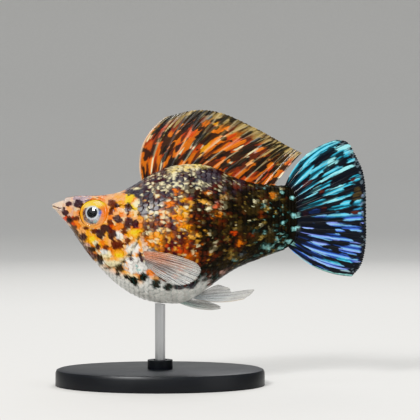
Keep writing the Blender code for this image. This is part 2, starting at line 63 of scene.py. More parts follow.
# Folds of the head in the side view
PREOPERCLE = np.array([(18.4, -4.2), (17.4, -8.0), (16.9, -10.6), (15.6, -13.4), (13.0, -15.0)])
THROAT_FOLD = np.array([(19.4, -19.9), (16.4, -19.3), (13.4, -16.9), (11.2, -14.5), (9.0, -11.6)])
NOSTRILS = [(6.9, 1.0), (8.3, 1.4)]
MOUTH_TIP, MOUTH_SLOPE, MOUTH_CORNER = -0.15, -0.31, 3.2

# Skin: rings along the body, points round each ring, and how far the skin lies inside the solids
TAIL_END = 78.4
NOSE_CAP, TAIL_CAP = 0.5, 5.0  # lengths over which both ends close
TAIL_DROP = 0.4  # share of its height that the tail stalk loses in its cap
RING_SIDES = 240
SKIN_DEPTH = 0.2

# Scales
SCALE_ROWS = 52  # round the body
SCALE_START, SCALE_END = 8.2, 77.2  # first and last row
SCALE_STEP = [(8, 0.9), (19, 1.2), (27, 1.55), (40, 1.85), (58, 1.5), (70, 1.15), (78, 0.95)]
SCALE_LAP = 1.18  # half length of a scale against the step to the next one
SCALE_WIDTH = [(27, 0.7), (60, 0.76), (78, 0.9)]  # half width against the room in its ring
SCALE_GRID = 7  # points along and across one scale
SCALE_THICK = 0.05
HEAD_END, STALK_START = 26, 60  # where the pieces of the coat meet
BAKE_PATCH = 0.003  # size of one scale on the map named OFBake

# Rim of the eye: its radius, half its breadth and its height
RIM_RADIUS, RIM_BREADTH, RIM_HEIGHT = 4.2, 0.5, 0.24
RIM_FOOT = 4.4  # where it rests on the skin and takes its colour
CORNEA_THICK = 0.07

# Floor: radius and height of its rings. Lamps: place, size and power
FLOOR_RINGS = [(0.25, 0), (0.7, 0), (1.0, 0.015), (1.25, 0.07), (1.42, 0.17), (1.52, 0.32), (1.56, 0.45)]
LAMPS = {
    "key": ((-0.22, -0.42, 0.40), 0.16, 2.6), "fill": ((0.45, -0.4, 0.16), 0.35, 0.3),
    "top": ((0.05, 0.02, 0.6), 0.4, 1.2), "back": ((0.1, 0.4, 0.5), 0.35, 1.2),
}
LIT_POINT = Vector((0.008, 0, 0.034))
LENS, SENSOR, VIEW_WIDTH = 120, 36, 80.25 * MM
VIEW_AT, VIEW_HEIGHT = 9.53 * MM, 33.4 * MM

# Pigments, as sRGB colours
PIGMENTS = {
    "charcoal": "#423c42", "black": "#16130f", "rust": "#6a2a12", "ember": "#cf4310", "orange": "#ec7a10",
    "amber": "#f2a516", "yellow": "#f4cc20", "cream": "#eadfb4", "pearl": "#dcdad4", "rose": "#c79a8c",
    "teal": "#86b6b0", "cyan": "#43c2e2", "olive": "#4a3c24", "lilac": "#a08c94", "snout": "#bcaa9e",
    "peach": "#efaa66", "brown": "#5a2418", "plum": "#38242c", "lip": "#cdb8a0", "chin": "#4c3420",
    "tan": "#a88e54", "navy": "#0a0e18", "azure": "#4a70d6", "violet": "#8ea0f6", "ice": "#a4eef2",
    "glass": "#c9c6bd", "silver": "#d6dade", "steel_blue": "#8ea2ac", "slate": "#5c6468",
    "pupil": "#04060b",
}


def linear(code):
    """Linear colour of an sRGB hex code."""
    parts = np.array([int(code[i:i + 2], 16) / 255 for i in (1, 3, 5)])
    return np.where(parts <= 0.04045, parts / 12.92, ((parts + 0.055) / 1.055) ** 2.4)


PAINT = {name: linear(code) for name, code in PIGMENTS.items()}


def smooth(low, high, value):
    """0 at low and 1 at high, with soft ends."""
    u = np.clip((value - low) / (high - low), 0, 1)
    return u * u * (3 - 2 * u)


def hump(value, middle, reach):
    """Soft bump that is 1 at its middle."""
    return np.exp(-((value - middle) / reach) ** 2)


def unit(vectors):
    """Vectors with a length of 1."""
    return vectors / np.maximum(np.linalg.norm(vectors, axis=-1, keepdims=True), 1e-9)


def through(knots, at):
    """Smooth curve through the knots (position, value), read at positions."""
    xs, ys = (np.array(column, float) for column in zip(*knots))
    steps = np.diff(ys) / np.diff(xs)
    slopes = np.concatenate(([steps[0]], (steps[:-1] + steps[1:]) / 2, [steps[-1]]))
    at = np.clip(np.asarray(at, float), xs[0], xs[-1])
    i = np.clip(np.searchsorted(xs, at, side="right") - 1, 0, len(xs) - 2)
    span = xs[i + 1] - xs[i]
    u = (at - xs[i]) / span
    return (ys[i] * (2 * u**3 - 3 * u**2 + 1) + ys[i + 1] * (3 * u**2 - 2 * u**3)
            + slopes[i] * span * (u**3 - 2 * u**2 + u) + slopes[i + 1] * span * (u**3 - u**2))


AXIS_HEIGHT = BASE_THICK + CLEARANCE - float(through(BELLY, ROD_AT)) * PART
FISH_FRAME = np.array((-ROD_AT * PART, 0, AXIS_HEIGHT))


def hashed(cells, seed):
    """Steady pseudo-random number from 0 to 1 for each whole-numbered cell."""
    n = (cells[..., 0] * 374761393 + cells[..., 1] * 668265263 + cells[..., 2] * 1274126177
         + seed * 951274213) & 0xFFFFFFFF
    n = ((n ^ (n >> 13)) * 1103515245) & 0xFFFFFFFF
    n = ((n ^ (n >> 16)) * 2654435761) & 0xFFFFFFFF
    return (n ^ (n >> 15)) / 0xFFFFFFFF


def soft_noise(points, size, seed):
    """Smooth noise from 0 to 1 whose lumps are about that size."""
    at = np.asarray(points, float) / size
    cell = np.floor(at).astype(np.int64)
    u = at - cell
    u = u * u * (3 - 2 * u)
    total = 0
    for corner in np.ndindex(2, 2, 2):
        share = np.prod(np.where(np.array(corner) == 1, u, 1 - u), axis=-1)
        total = total + share * hashed(cell + np.array(corner), seed)
    return total


def cloud(points, size, seed):
    """Noise with two finer layers on it, spread over about 0 to 1."""
    total = sum(soft_noise(points, size / 2**k, seed + k) / 2**k for k in range(3)) / 1.75
    return np.clip(0.5 + (total - 0.5) * 1.7, 0, 1)


def fleck(place, low, high, size, seed):
    """Share of specks of a size, from noise that is cut between two levels."""
    return smooth(low, high, cloud(place, size, seed))


def stack(*columns):
    """Points from their coordinates."""
    return np.stack(np.broadcast_arrays(*columns), axis=-1)


def over(base, colour, mask):
    """Colour laid over base where the mask is 1. Each is a pigment's name or an array of colours."""
    base, colour = (PAINT[side] if isinstance(side, str) else side for side in (base, colour))
    return base + (colour - base) * np.asarray(mask)[..., None]


def layered(colour, *coats):
    """Coats laid over a colour one after another, each with its mask."""
    for coat, mask in coats:
        colour = over(colour, coat, mask)
    return colour


# ---- Form of the body

def end_caps(x):
    """How much of its size a section keeps at x: 1, but for the two rounded ends."""
    nose = np.sqrt(np.clip(1 - (1 - np.clip(x / NOSE_CAP, 0, 1)) ** 2, 0, 1))
    tail = np.clip((x - (TAIL_END - TAIL_CAP)) / TAIL_CAP, 0, 1)
    return nose, np.sqrt(np.clip(1 - tail**2, 0, 1))


def levels(x):
    """Heights of the back, of the belly and of the widest level at x."""
    top, bottom = through(BACK, x), through(BELLY, x)
    return top, bottom, bottom + through(WIDEST, x) * (top - bottom)


def body_point(x, angle):
    """Point of the body at x, at an angle round it from the back down the left flank."""
    top, bottom, middle = levels(x)
    nose, tail = end_caps(x)
    side, up = np.sin(angle), np.cos(angle)
    power = np.where(up > 0, through(SQUARE_BACK, x), through(SQUARE_BELLY, x))
    reach = np.where(up > 0, top - middle, middle - bottom) * nose * (1 - TAIL_DROP * (1 - tail))
    # The tail stalk narrows into a wedge at the root of the tail fin
    width = through(HALF_WIDTH, x) * nose * tail * (1 - 0.72 * smooth(71.5, 78.6, x))
    y = -np.sign(side) * np.abs(side) ** (2 / power) * width
    return stack(x, y, middle + np.sign(up) * np.abs(up) ** (2 / power) * reach)


def half_width(x, z):
    """Half width of the body at the point (x, z) of the side view."""
    top, bottom, middle = levels(x)
    up = z > middle
    reach = np.where(up, top - middle, middle - bottom)
    power = np.where(up, through(SQUARE_BACK, x), through(SQUARE_BELLY, x))
    share = np.clip(np.abs(z - middle) / reach, 0, 1)
    return through(HALF_WIDTH, x) * (1 - share**power) ** (1 / power)


def eye_axes(side):
    """Point of the skin under one eye, and the directions out of it, rearwards and up."""
    x, z = EYE_CENTRE
    step = 3.0
    slope = [(half_width(x + dx, z + dz) - half_width(x - dx, z - dz)) / (2 * step)
             for dx, dz in ((step, 0), (0, step))]
    out = unit(np.array((-slope[0], side, -slope[1])))
    rear = unit(np.array((1.0, 0, 0)) - out * out[0])
    up = np.cross(rear, out)
    return np.array((x, side * float(half_width(x, z)), z)), out, rear, up * np.sign(up[2])


def closed_curve(points, steps=8):
    """Smooth closed line through points of the side view."""
    closed = np.array(points[-1:] + points + points[:2], float)
    line = []
    for b, c, d, e in zip(closed, closed[1:], closed[2:], closed[3:]):
        for u in np.arange(steps) / steps:
            line.append(0.5 * (2 * c + (d - b) * u + (2 * b - 5 * c + 4 * d - e) * u**2
                               + (3 * c - b - 3 * d + e) * u**3))
    return np.array(line)


COVER_LINE = closed_curve(GILL_COVER)


def distance_to(line, x, z, closed=False):
    """Distance from points of the side view to a line of points."""
    ends = np.roll(line, -1, axis=0) if closed else line[1:]
    nearest = np.full(np.shape(x), 1e9)
    for (ax, az), (bx, bz) in zip(line, ends):
        dx, dz = bx - ax, bz - az
        u = np.clip(((x - ax) * dx + (z - az) * dz) / (dx * dx + dz * dz), 0, 1)
        nearest = np.minimum(nearest, np.hypot(x - ax - u * dx, z - az - u * dz))
    return nearest


def inside(line, x, z):
    """Whether points of the side view lie inside a closed line."""
    found = np.zeros(np.shape(x), bool)
    for (ax, az), (bx, bz) in zip(line, np.roll(line, -1, axis=0)):
        crosses = (az > z) != (bz > z)
        found ^= crosses & (x < ax + (z - az) * (bx - ax) / (bz - az + 1e-12))
    return found


def eye_distance(points):
    """Distance of points from the axis of the eye on their side."""
    radius = np.full(points.shape[:-1], 1e9)
    for side in (-1, 1):
        centre, out, _, _ = eye_axes(side)
        off = points - centre
        away = np.linalg.norm(off - (off @ out)[..., None] * out, axis=-1)
        radius = np.where(points[..., 1] * side > 0, np.minimum(away, radius), radius)
    return radius


def relief(points):
    """How far the skin's folds and hollows stand out of the plain form, or lie in it."""
    x, y, z = np.moveaxis(points, -1, 0)
    rise = -SKIN_DEPTH * smooth(4, 9, x)
    # The mouth: a narrow cleft between two rounded lips, fading at its corners
    off = z - (MOUTH_TIP + MOUTH_SLOPE * x)
    mouth = smooth(MOUTH_CORNER + 0.35, MOUTH_CORNER - 0.45, x)
    rise += mouth * (0.24 * hump(np.abs(off), 0.42, 0.26) - 0.5 * hump(off, 0, 0.11))
    # Fold behind the upper jaw, where it slides forward
    fold = 3.85 + 0.12 * (z - 1)
    rise -= 0.3 * hump(x, fold, 0.22) * smooth(-1.6, -0.4, z)
    rise += 0.16 * hump(x, fold + 0.6, 0.4) * smooth(-1.0, 0.4, z)
    for number, (nx, nz) in enumerate(NOSTRILS):
        away = np.hypot(x - nx, z - nz)
        rise += 0.14 * hump(away, 0.5, 0.16) - (0.55 - 0.15 * number) * hump(away, 0, 0.3)
    # Socket of the eye, and the soft swelling round it
    radius = eye_distance(points)
    rise += 0.28 * hump(radius, 4.95, 0.5) - 2.0 * smooth(4.5, 4.1, radius)
    # Gill cover: a bony plate with a free edge behind and below, over the gill slit
    edge = distance_to(COVER_LINE, x, z, closed=True)
    within = inside(COVER_LINE, x, z)
    free = 1 - 0.85 * smooth(19.4, 18.4, x) * smooth(-16.2, -14.2, z)
    rise += np.where(within, (0.15 + 0.42 * np.exp(-edge / 1.8)) * free * smooth(0, 0.2, edge), 0)
    rise -= free * 0.6 * hump(edge, 0, 0.34) * np.where(within, 0.2, 1.0)
    rise -= 0.14 * hump(distance_to(PREOPERCLE, x, z), 0, 0.24)
    rise -= 0.3 * hump(distance_to(THROAT_FOLD, x, z), 0, 0.26)
    # Fleshy lobe that carries the pectoral fin, and the scaled sheath along the dorsal fin
    rise += 0.4 * hump(x, 28.6, 1.5) * hump(z, -16.2, 2.2)
    rise += 0.4 * smooth(28, 30, x) * smooth(72, 69, x) * (z > 0) * hump(y, 0, 1.1)
    # Bony brow above the eye
    return rise + 0.12 * hump(x, 13.8, 4) * smooth(1.6, 2.6, z)


def ring_places():
    """Where the skin's rings lie: close at the jaws, wider along the flank."""
    return np.concatenate([
        NOSE_CAP * (1 - np.cos(np.linspace(0.06, math.pi / 2, 7)[:-1])), np.arange(NOSE_CAP, 5, 0.1),
        np.arange(5, 30, 0.25), np.arange(30, TAIL_END - TAIL_CAP, 0.42),
        TAIL_END - TAIL_CAP * (1 - np.sin(np.linspace(0, math.pi / 2 - 0.05, 18)))])


def normals_of(grid):
    """Outward unit normals of a grid of points whose columns close round the body."""
    around = (np.roll(grid, -1, axis=1) - np.roll(grid, 1, axis=1)) / 2
    normal = unit(np.cross(around, np.gradient(grid, axis=0)))
    outwards = (normal * (grid - grid.mean(axis=1, keepdims=True))).sum(-1).mean()
    return normal * np.where(outwards < 0, -1, 1)


def evenly_round(x):
    """Points round the section at x, an even way apart, from the back down the left flank."""
    angles = np.linspace(0, 2 * math.pi, 1441)
    ring = body_point(np.full_like(angles, x), angles)
    way = np.concatenate(([0], np.cumsum(np.linalg.norm(np.diff(ring, axis=0), axis=1))))
    return np.interp(np.linspace(0, way[-1], RING_SIDES + 1)[:-1], way, angles), way[-1]


RINGS = ring_places()
ring_angles, GIRTH = (np.array(column) for column in zip(*(evenly_round(x) for x in RINGS)))
PLAIN = body_point(RINGS[:, None], ring_angles)
SKIN = PLAIN + normals_of(PLAIN) * relief(PLAIN)[..., None]
SKIN_NORMAL = normals_of(SKIN)
for _ in range(3):  # the scales follow a softened normal
    SKIN_NORMAL = unit(SKIN_NORMAL + np.roll(SKIN_NORMAL, 1, 1) + np.roll(SKIN_NORMAL, -1, 1)
                       + np.concatenate([SKIN_NORMAL[1:], SKIN_NORMAL[-1:]])
                       + np.concatenate([SKIN_NORMAL[:1], SKIN_NORMAL[:-1]]))


def read_grid(grid, x, share):
    """Value of a grid at x and at a share of the way round the body."""
    row = np.interp(x, RINGS, np.arange(len(RINGS)))
    column = np.mod(share, 1) * RING_SIDES
    i = np.clip(row.astype(int), 0, len(RINGS) - 2)
    j = column.astype(int) % RING_SIDES
    u, v = (row - i)[..., None], (column - np.floor(column))[..., None]
    k = (j + 1) % RING_SIDES
    return ((grid[i, j] * (1 - v) + grid[i, k] * v) * (1 - u)
            + (grid[i + 1, j] * (1 - v) + grid[i + 1, k] * v) * u)


# ---- Markings of the body

# Zones of the mosaic: middle and reach in the side view, and the pigments found there
ZONES = [
    ((36, 6.2), (9.5, 6.5), {"charcoal": 7, "cream": 0.9, "yellow": 0.2}),
    ((51.9, 7.4), (8, 5.5), {"charcoal": 6, "cream": 0.5, "rust": 1, "orange": 0.3}),
    ((31.8, -0.6), (3.4, 4.6), {"charcoal": 7, "cream": 0.5, "yellow": 0.3}),
    ((39.5, -5.5), (6.5, 11), {"orange": 2.4, "amber": 1.2, "cream": 0.6, "charcoal": 2.8, "brown": 2.2,
                               "ember": 0.9}),
    ((31.8, -10.2), (4.5, 6), {"amber": 2.4, "orange": 2.2, "yellow": 0.8, "cream": 0.6, "charcoal": 1.6}),
    ((41, -14), (5.5, 6), {"ember": 2.4, "orange": 2.4, "charcoal": 1.8, "rust": 1.6}),
    ((50.5, -4.5), (6, 9), {"black": 5.2, "rust": 1.6, "orange": 0.6, "ember": 0.3, "brown": 1.6,
                            "olive": 0.5}),
    ((61, -4.5), (7, 10), {"black": 7, "rust": 1, "orange": 0.15, "brown": 1.4, "olive": 0.7}),
    ((72.6, -2.9), (4.5, 9.5), {"black": 5, "rust": 0.9, "orange": 0.25, "teal": 0.3, "olive": 0.5}),
    ((69.4, -13.5), (6, 2.6), {"teal": 1.3, "black": 3.2, "cream": 0.2}),
    ((54, -16.8), (8, 5), {"black": 5, "rust": 1.4, "orange": 0.3, "teal": 0.2, "olive": 0.5}),
    ((52.5, -24), (5, 2.6), {"rust": 2.2, "rose": 1.2, "black": 2.6, "cream": 0.3}),
    ((32, -28.4), (13, 5), {"pearl": 24}),
    ((26.4, -17), (4.2, 6), {"pearl": 20}),
    ((19.5, -23.5), (5, 3.5), {"pearl": 20}),
    ((36.5, -20.3), (4.6, 3), {"orange": 2.2, "olive": 2.4, "rose": 1.2, "charcoal": 2.6, "pearl": 1.6}),
    ((42.2, -24.4), (5.6, 2.3), {"black": 3.4, "olive": 2.6, "rust": 0.9, "orange": 0.5, "pearl": 0.5}),
]
MOSAIC = sorted({name for _, _, mix in ZONES for name in mix})

# Patches in the order in which they lie on each other: pigment, then the middle and the reach of each
# patch in the side view
HEAD_PATCHES = [
    ("snout", [(4.9, 1.8, 1.91, 0.96)]), ("lilac", [(9.6, 1.9, 2.87, 1.27)]),
    ("snout", [(8, 0.8, 1.27, 0.96)]), ("peach", [(5.9, -1.4, 1.08, 1.21), (8.6, -7.7, 1.91, 1.47),
        (7.6, -2.9, 0.51, 0.96)]), ("orange", [(8, -6.1, 1.59, 1.91)]), ("chin", [(8, -9.9, 1.59, 2.55),
        (7, -7.6, 1.59, 1.59), (10.2, -13.1, 1.91, 1.91), (12.7, -16.1, 2.55, 1.27)]),
    ("peach", [(10.2, -8.3, 1.27, 1.15)]), ("amber", [(12.7, -10.3, 2.29, 2.36)]),
    ("yellow", [(13.5, -10.7, 1.08, 0.96)]), ("cream", [(14.5, -11.9, 1.08, 0.83)]),
    ("rose", [(11.8, -12.4, 1.02, 0.57)]), ("peach", [(18.8, 2.1, 1.59, 1.27)]),
    ("orange", [(19.7, -1, 1.91, 1.91)]), ("peach", [(18.7, 0, 0.83, 1.08)]),
    ("amber", [(22, 0.6, 1.27, 1.08)]), ("yellow", [(24.9, 2.1, 1.66, 1.97)]),
    ("amber", [(23.3, -0.2, 1.08, 1.08)]), ("yellow", [(26.5, -0.2, 0.83, 1.4)]),
    ("cream", [(27.2, 0.6, 1.08, 0.96)]), ("yellow", [(27.6, -1, 0.64, 0.51)]),
    ("orange", [(22.9, -2.9, 1.08, 0.96)]), ("peach", [(20.9, -2.9, 0.96, 0.89), (26.9, -4, 1.08, 0.89)]),
    ("orange", [(19.4, -3.8, 0.96, 0.76)]), ("peach", [(28, -4.8, 0.64, 0.64)]),
    ("ember", [(19.7, -6.7, 0.89, 0.83)]), ("orange", [(21.3, -7.3, 1.27, 0.96)]),
    ("ember", [(27.4, -6.7, 1.27, 1.27)]), ("amber", [(26.6, -8.6, 2.68, 1.4)]),
    ("yellow", [(26.9, -8.5, 1.59, 0.76)]), ("pearl", [(22, -9.2, 1.27, 1.53)]),
    ("peach", [(22.9, -8.3, 0.76, 0.64)]), ("orange", [(16.6, -12.1, 1.27, 1.08)]),
    ("amber", [(15.6, -12.4, 0.76, 0.76)]), ("peach", [(19.4, -11.6, 1.27, 1.15)]),
    ("orange", [(18.5, -13.7, 1.91, 0.96)]), ("rust", [(21.6, -12.4, 1.97, 1.78)]),
    ("peach", [(23.9, -13.7, 0.96, 0.96)]), ("amber", [(22.3, -15.3, 2.1, 1.21)]),
    ("yellow", [(22.1, -15.6, 1.08, 0.7)]), ("cream", [(17.8, -15.3, 1.97, 1.4)]),
    ("pearl", [(17, -14.6, 1.08, 0.83)]), ("tan", [(18.2, -16.6, 0.83, 0.64)]),
    ("cream", [(19.7, -18.2, 3.19, 1.08)]), ("pearl", [(16.6, -17.8, 1.27, 0.7)]),
    ("charcoal", [(25.2, 4.7, 2.87, 1.47)]), ("cream", [(28.8, 3.3, 0.45, 0.57), (26.9, 5.3, 1.59, 0.38)]),
    ("charcoal", [(29.6, -0.5, 1.59, 3.06)]), ("pearl", [(26.3, -13.7, 2.36, 1.97),
        (27.1, -18.5, 3.5, 3.06)]), ("teal", [(27.4, -18.8, 0.51, 0.38), (28.1, -20.1, 0.57, 0.32)]),
    ("pearl", [(11.8, -16.1, 2.23, 0.38), (14.7, -18.5, 1.59, 0.83)]), ("plum", [(5.9, 0.6, 1.12, 0.91),
        (9.2, 0.2, 1.4, 1.54), (8.7, 1.4, 0.91, 0.63), (4, -1, 0.63, 0.42), (4.7, -2.3, 1.26, 0.91)]),
    ("brown", [(6.1, -4.5, 1.54, 1.26)]), ("ember", [(4.3, -4.3, 0.76, 0.7)]),
    ("black", [(6, -4.5, 0.91, 0.63)]), ("brown", [(8, -4.2, 1.26, 0.77)]),
    ("ember", [(7.4, -5.8, 0.7, 0.51), (7, -3.6, 0.38, 0.32)]), ("plum", [(10.4, -9.9, 1.47, 1.47)]),
    ("black", [(13.4, -13.9, 1.47, 1.19)]), ("plum", [(15.1, -13.1, 0.77, 0.91)]),
    ("brown", [(11.6, -14.4, 1.4, 0.77), (13.1, -15.7, 1.62, 0.84)]),
    ("black", [(15.7, -17.4, 1.12, 1.68)]), ("brown", [(14, -8.2, 1.4, 0.84), (11.5, -7.1, 1.19, 0.63)]),
    ("plum", [(17.8, -7.3, 1.62, 1.54), (16.2, -9.3, 1.68, 1.47), (19.8, -9.2, 1.62, 1.54),
        (21.5, -4.5, 1.68, 1.33)]), ("brown", [(19.4, -5.3, 1.12, 0.84), (19.4, -8.3, 0.7, 0.56)]),
    ("plum", [(25.2, -5.7, 2.1, 1.62), (27.4, -5.8, 1.19, 1.47)]), ("brown", [(23.6, -8, 1.26, 1.06),
        (19.8, 0.7, 1.4, 1.33)]), ("plum", [(21.4, -0.2, 0.91, 0.7)]), ("brown", [(19.7, -1.8, 0.77, 1.19),
        (18.9, -2.6, 0.5, 0.7)]), ("plum", [(24.7, -1, 1.4, 1.75)]), ("brown", [(24.7, -2.6, 0.91, 0.7),
        (17.8, -13.1, 0.98, 0.84), (21.1, -12.1, 1.4, 1.19), (20.6, -13.2, 0.84, 0.7),
        (22.9, -12.7, 0.63, 0.84), (24.9, -11, 1.19, 0.84), (24.3, -12, 0.84, 0.56)]),
    ("plum", [(23.6, -17.5, 0.56, 0.42)]), ("black", [(17.8, -19.8, 1.19, 0.35), (21.8, -19.9, 1.47, 1.4),
        (21.4, -21.4, 0.91, 0.84)]), ("plum", [(25.8, -16.2, 0.56, 1.4), (28.5, -15.3, 0.56, 1.06),
        (29.3, -16.7, 0.7, 1.06)]), ("black", [(24.2, -22.4, 0.91, 0.7), (26.6, -23.2, 1.47, 1.12),
        (26.9, -24.6, 0.42, 0.56), (29.3, -22.4, 1.26, 1.19)]),
]
FLANK_PATCHES = [
    ("charcoal", [(30.7, -6.7, 1.1, 1.8), (35.7, -6.6, 1, 1), (33.4, -1.2, 1.6, 1.2),
        (37.2, -8.6, 1.1, 0.9), (33.2, -8.6, 0.9, 0.8), (38.9, -6.3, 0.8, 1.2), (42.6, -8.8, 1, 0.9),
        (44.2, 1, 1.1, 1), (36.8, -11.9, 0.9, 0.8), (40.2, -13.2, 0.9, 0.8), (46.8, 0.2, 1.2, 1.1),
        (49.5, -5.6, 1.2, 1)]), ("charcoal", [(32.1, 6.7, 4.32, 2.82), (29.8, -0.4, 2.5, 3.19),
        (44.9, 6.9, 1.82, 3), (41.2, 8.1, 1.82, 1.18), (37.6, 2.6, 2.73, 1.18), (36.2, 0, 1.55, 0.91)]),
    ("brown", [(52.6, 5.9, 2.5, 1.91), (58.5, 6.5, 2.73, 1.55)]), ("black", [(56.2, 0.3, 2.64, 4.78),
        (61.2, 2.8, 2, 2.73), (64, 0.5, 1.82, 2.5), (44.9, -2.4, 1.91, 2.18)]),
    ("charcoal", [(40.1, -9.7, 1.18, 1.73)]), ("black", [(47.8, -10.6, 2.55, 2.91), (50.3, -7.3, 3, 1.55),
        (54.4, -14, 2.37, 3), (50.8, -17.2, 2.73, 2.27), (46.2, -6.7, 1.55, 1.36), (59, -3.1, 2.09, 2.27),
        (61.2, -7.6, 1.82, 2.27), (65.3, -11.3, 2.27, 1.82), (64.9, -3.1, 1.36, 2.73),
        (68.1, -4.9, 1.36, 2.27), (44.9, -22.2, 2.73, 1.82), (58.1, -18.6, 1.82, 1.55),
        (69.4, -4, 1.64, 2.27), (73.1, -1.7, 1.82, 2.73), (70.3, -12.2, 1.36, 1.36),
        (74.4, -7.6, 1.82, 2.73), (74, 6.9, 2.27, 1.82)]), ("amber", [(41.5, -4, 2.18, 3.82)]),
    ("orange", [(40.5, -4.9, 1.36, 1.82)]), ("amber", [(41.9, 2.8, 1.18, 2.73)]),
    ("orange", [(39.6, 4.2, 1.18, 1.36), (38, 0.9, 1.55, 1.18), (35.4, -3.2, 1.18, 1.55)]),
    ("ember", [(43.5, 1.8, 1, 1.09), (51, 2.4, 1, 1)]), ("orange", [(49.4, 3.5, 0.91, 1)]),
    ("rose", [(52.1, 1.1, 0.7, 0.9)]), ("ember", [(52.1, -0.4, 1.36, 1)]),
    ("orange", [(50.3, -1.5, 0.91, 1.09)]), ("ember", [(54, -4.9, 1.55, 1.64)]),
    ("orange", [(52.6, -2.9, 1.55, 1.64)]), ("amber", [(34.2, -9.9, 2.09, 1.73)]),
    ("orange", [(31.7, -10.9, 1.55, 2.09)]), ("ember", [(37.4, -12.7, 1.55, 1.36)]),
    ("orange", [(36.2, -10.6, 1.18, 1.18), (42.4, -11.6, 1.09, 1.36)]),
    ("ember", [(43.6, -14.6, 1.73, 2.46), (40.8, -13.6, 1.36, 1.36)]), ("rust", [(59.9, -11.4, 1.6, 1.7)]),
    ("orange", [(42.8, -16.1, 1.09, 1.09), (59.7, -11.2, 0.9, 1.1)]), ("ember", [(57.5, -8.5, 1, 0.8)]),
    ("rust", [(50.3, -14, 2, 2.09), (49, -16.1, 1.82, 1.55), (64, 5.5, 2.09, 0.91)]),
    ("tan", [(70.3, 3, 1.24, 1.24)]), ("orange", [(70.3, 3.3, 0.91, 1)]),
    ("rust", [(67.6, 2.8, 1.36, 1.18)]), ("tan", [(68.1, -0.9, 0.8, 1.2)]),
    ("rust", [(66, -2.6, 1.09, 1.55), (55.3, 2.8, 1.18, 1.36), (56.2, -3.5, 1.09, 1.36),
        (59.4, 1.9, 1, 1.82), (53.1, -7.6, 1.82, 1.18), (63.1, -9.9, 1.82, 1.18),
        (48.5, -4.5, 1.36, 1.18)]), ("rose", [(54, -21.7, 1.36, 1.09)]), ("tan", [(56.7, -15, 0.94, 0.94),
        (51.7, -11.5, 0.94, 0.58)]), ("slate", [(60.8, -15.6, 1.73, 1.36)]),
    ("teal", [(58.5, -17.2, 0.68, 0.55)]), ("yellow", [(25.5, 2.8, 1.18, 1.64), (27.3, -0.1, 1.09, 1.55)]),
    ("cream", [(27.6, 1.5, 0.43, 0.85), (40.8, 11.4, 2.06, 0.71), (47.6, 12.3, 1.63, 0.5),
        (38.9, 8.7, 0.71, 0.78), (44.4, 9.1, 1.06, 0.71), (46.8, 6.5, 0.5, 1.21), (36.9, 4.6, 0.57, 0.71),
        (38.5, 3.3, 0.5, 0.71), (34.9, 7.3, 0.64, 0.64), (32.6, 4.9, 0.32, 0.78), (28.9, 3.5, 0.43, 0.43),
        (33.9, 2.8, 0.35, 0.57), (46.7, 1.8, 0.85, 0.39), (37, -4.9, 0.46, 1.28), (49.4, -1.8, 0.39, 1.21),
        (46.2, -0.5, 0.39, 0.92), (43, -0.4, 0.32, 0.64), (30.2, -4.1, 0.78, 0.78),
        (41.6, -7.6, 0.85, 0.32), (40.5, -10.8, 0.35, 0.71), (49.9, 6.9, 0.39, 0.5),
        (52.1, 7.7, 0.43, 0.43), (54.9, 8.2, 0.5, 0.35), (56.7, 7.3, 0.35, 0.43), (59.4, 6.8, 0.35, 0.35),
        (52.6, -5.5, 0.32, 0.57), (48.5, -3.5, 0.32, 0.71), (39.9, -1, 0.32, 0.78), (44.9, 3.4, 0.43, 0.57),
        (35.8, -2.2, 0.28, 0.57), (33, -3.5, 0.32, 0.5), (33.9, -6.7, 0.35, 0.43), (31.7, -7.9, 0.43, 0.32),
        (41.2, -13.2, 0.28, 0.5), (54, -0.7, 0.32, 0.71), (54.9, -2.9, 0.28, 0.57), (56.7, -5.7, 0.28, 0.5),
        (61.2, -1.7, 0.28, 0.5), (64.4, 1.1, 0.35, 0.85), (59.1, 3.2, 0.21, 0.78), (66, -5.9, 0.32, 0.71),
        (63.5, 2.8, 0.25, 0.43), (67.2, 1, 0.28, 0.43), (68.9, -7, 0.25, 0.57), (69.4, -8.8, 0.43, 1.06)]),
    ("teal", [(71.3, -11.3, 0.51, 1.16), (66.9, -13.2, 0.82, 0.75), (68.9, -14, 0.41, 0.75),
        (73.2, -5.5, 0.55, 0.68), (71.3, -6.4, 0.44, 0.48), (75.3, -2.3, 0.51, 0.75),
        (73.1, 4.2, 0.48, 0.48), (72.8, -1.3, 0.34, 0.61)]), ("cyan", [(72.2, -14.1, 2.18, 0.47)]),
    ("teal", [(69.4, -15.6, 1.36, 0.34), (64.9, -16.1, 1.36, 0.41), (62.6, -17.4, 1.16, 0.41),
        (59.4, -19.1, 1.02, 0.34)]), ("cream", [(70.8, 6.5, 1.21, 0.32), (67.2, 5.9, 1.06, 0.28),
        (72.6, 5.6, 0.43, 0.43)]),
]
ROOT_SPOTS = [
    ("teal", [(76.9, -3.2, 0.95, 0.9), (77.1, -7.5, 1, 0.7), (75.1, -11.4, 1.1, 0.7),
        (76.3, 2.3, 0.65, 0.7), (73.2, -5.5, 0.6, 0.7), (72.4, -13.6, 1.2, 0.5)]),
    ("ice", [(76.9, -3.1, 0.45, 0.45), (77.1, -7.4, 0.5, 0.35), (75.1, -11.3, 0.5, 0.3),
        (76.3, 2.4, 0.3, 0.35), (73.2, -5.4, 0.28, 0.34)]),
]
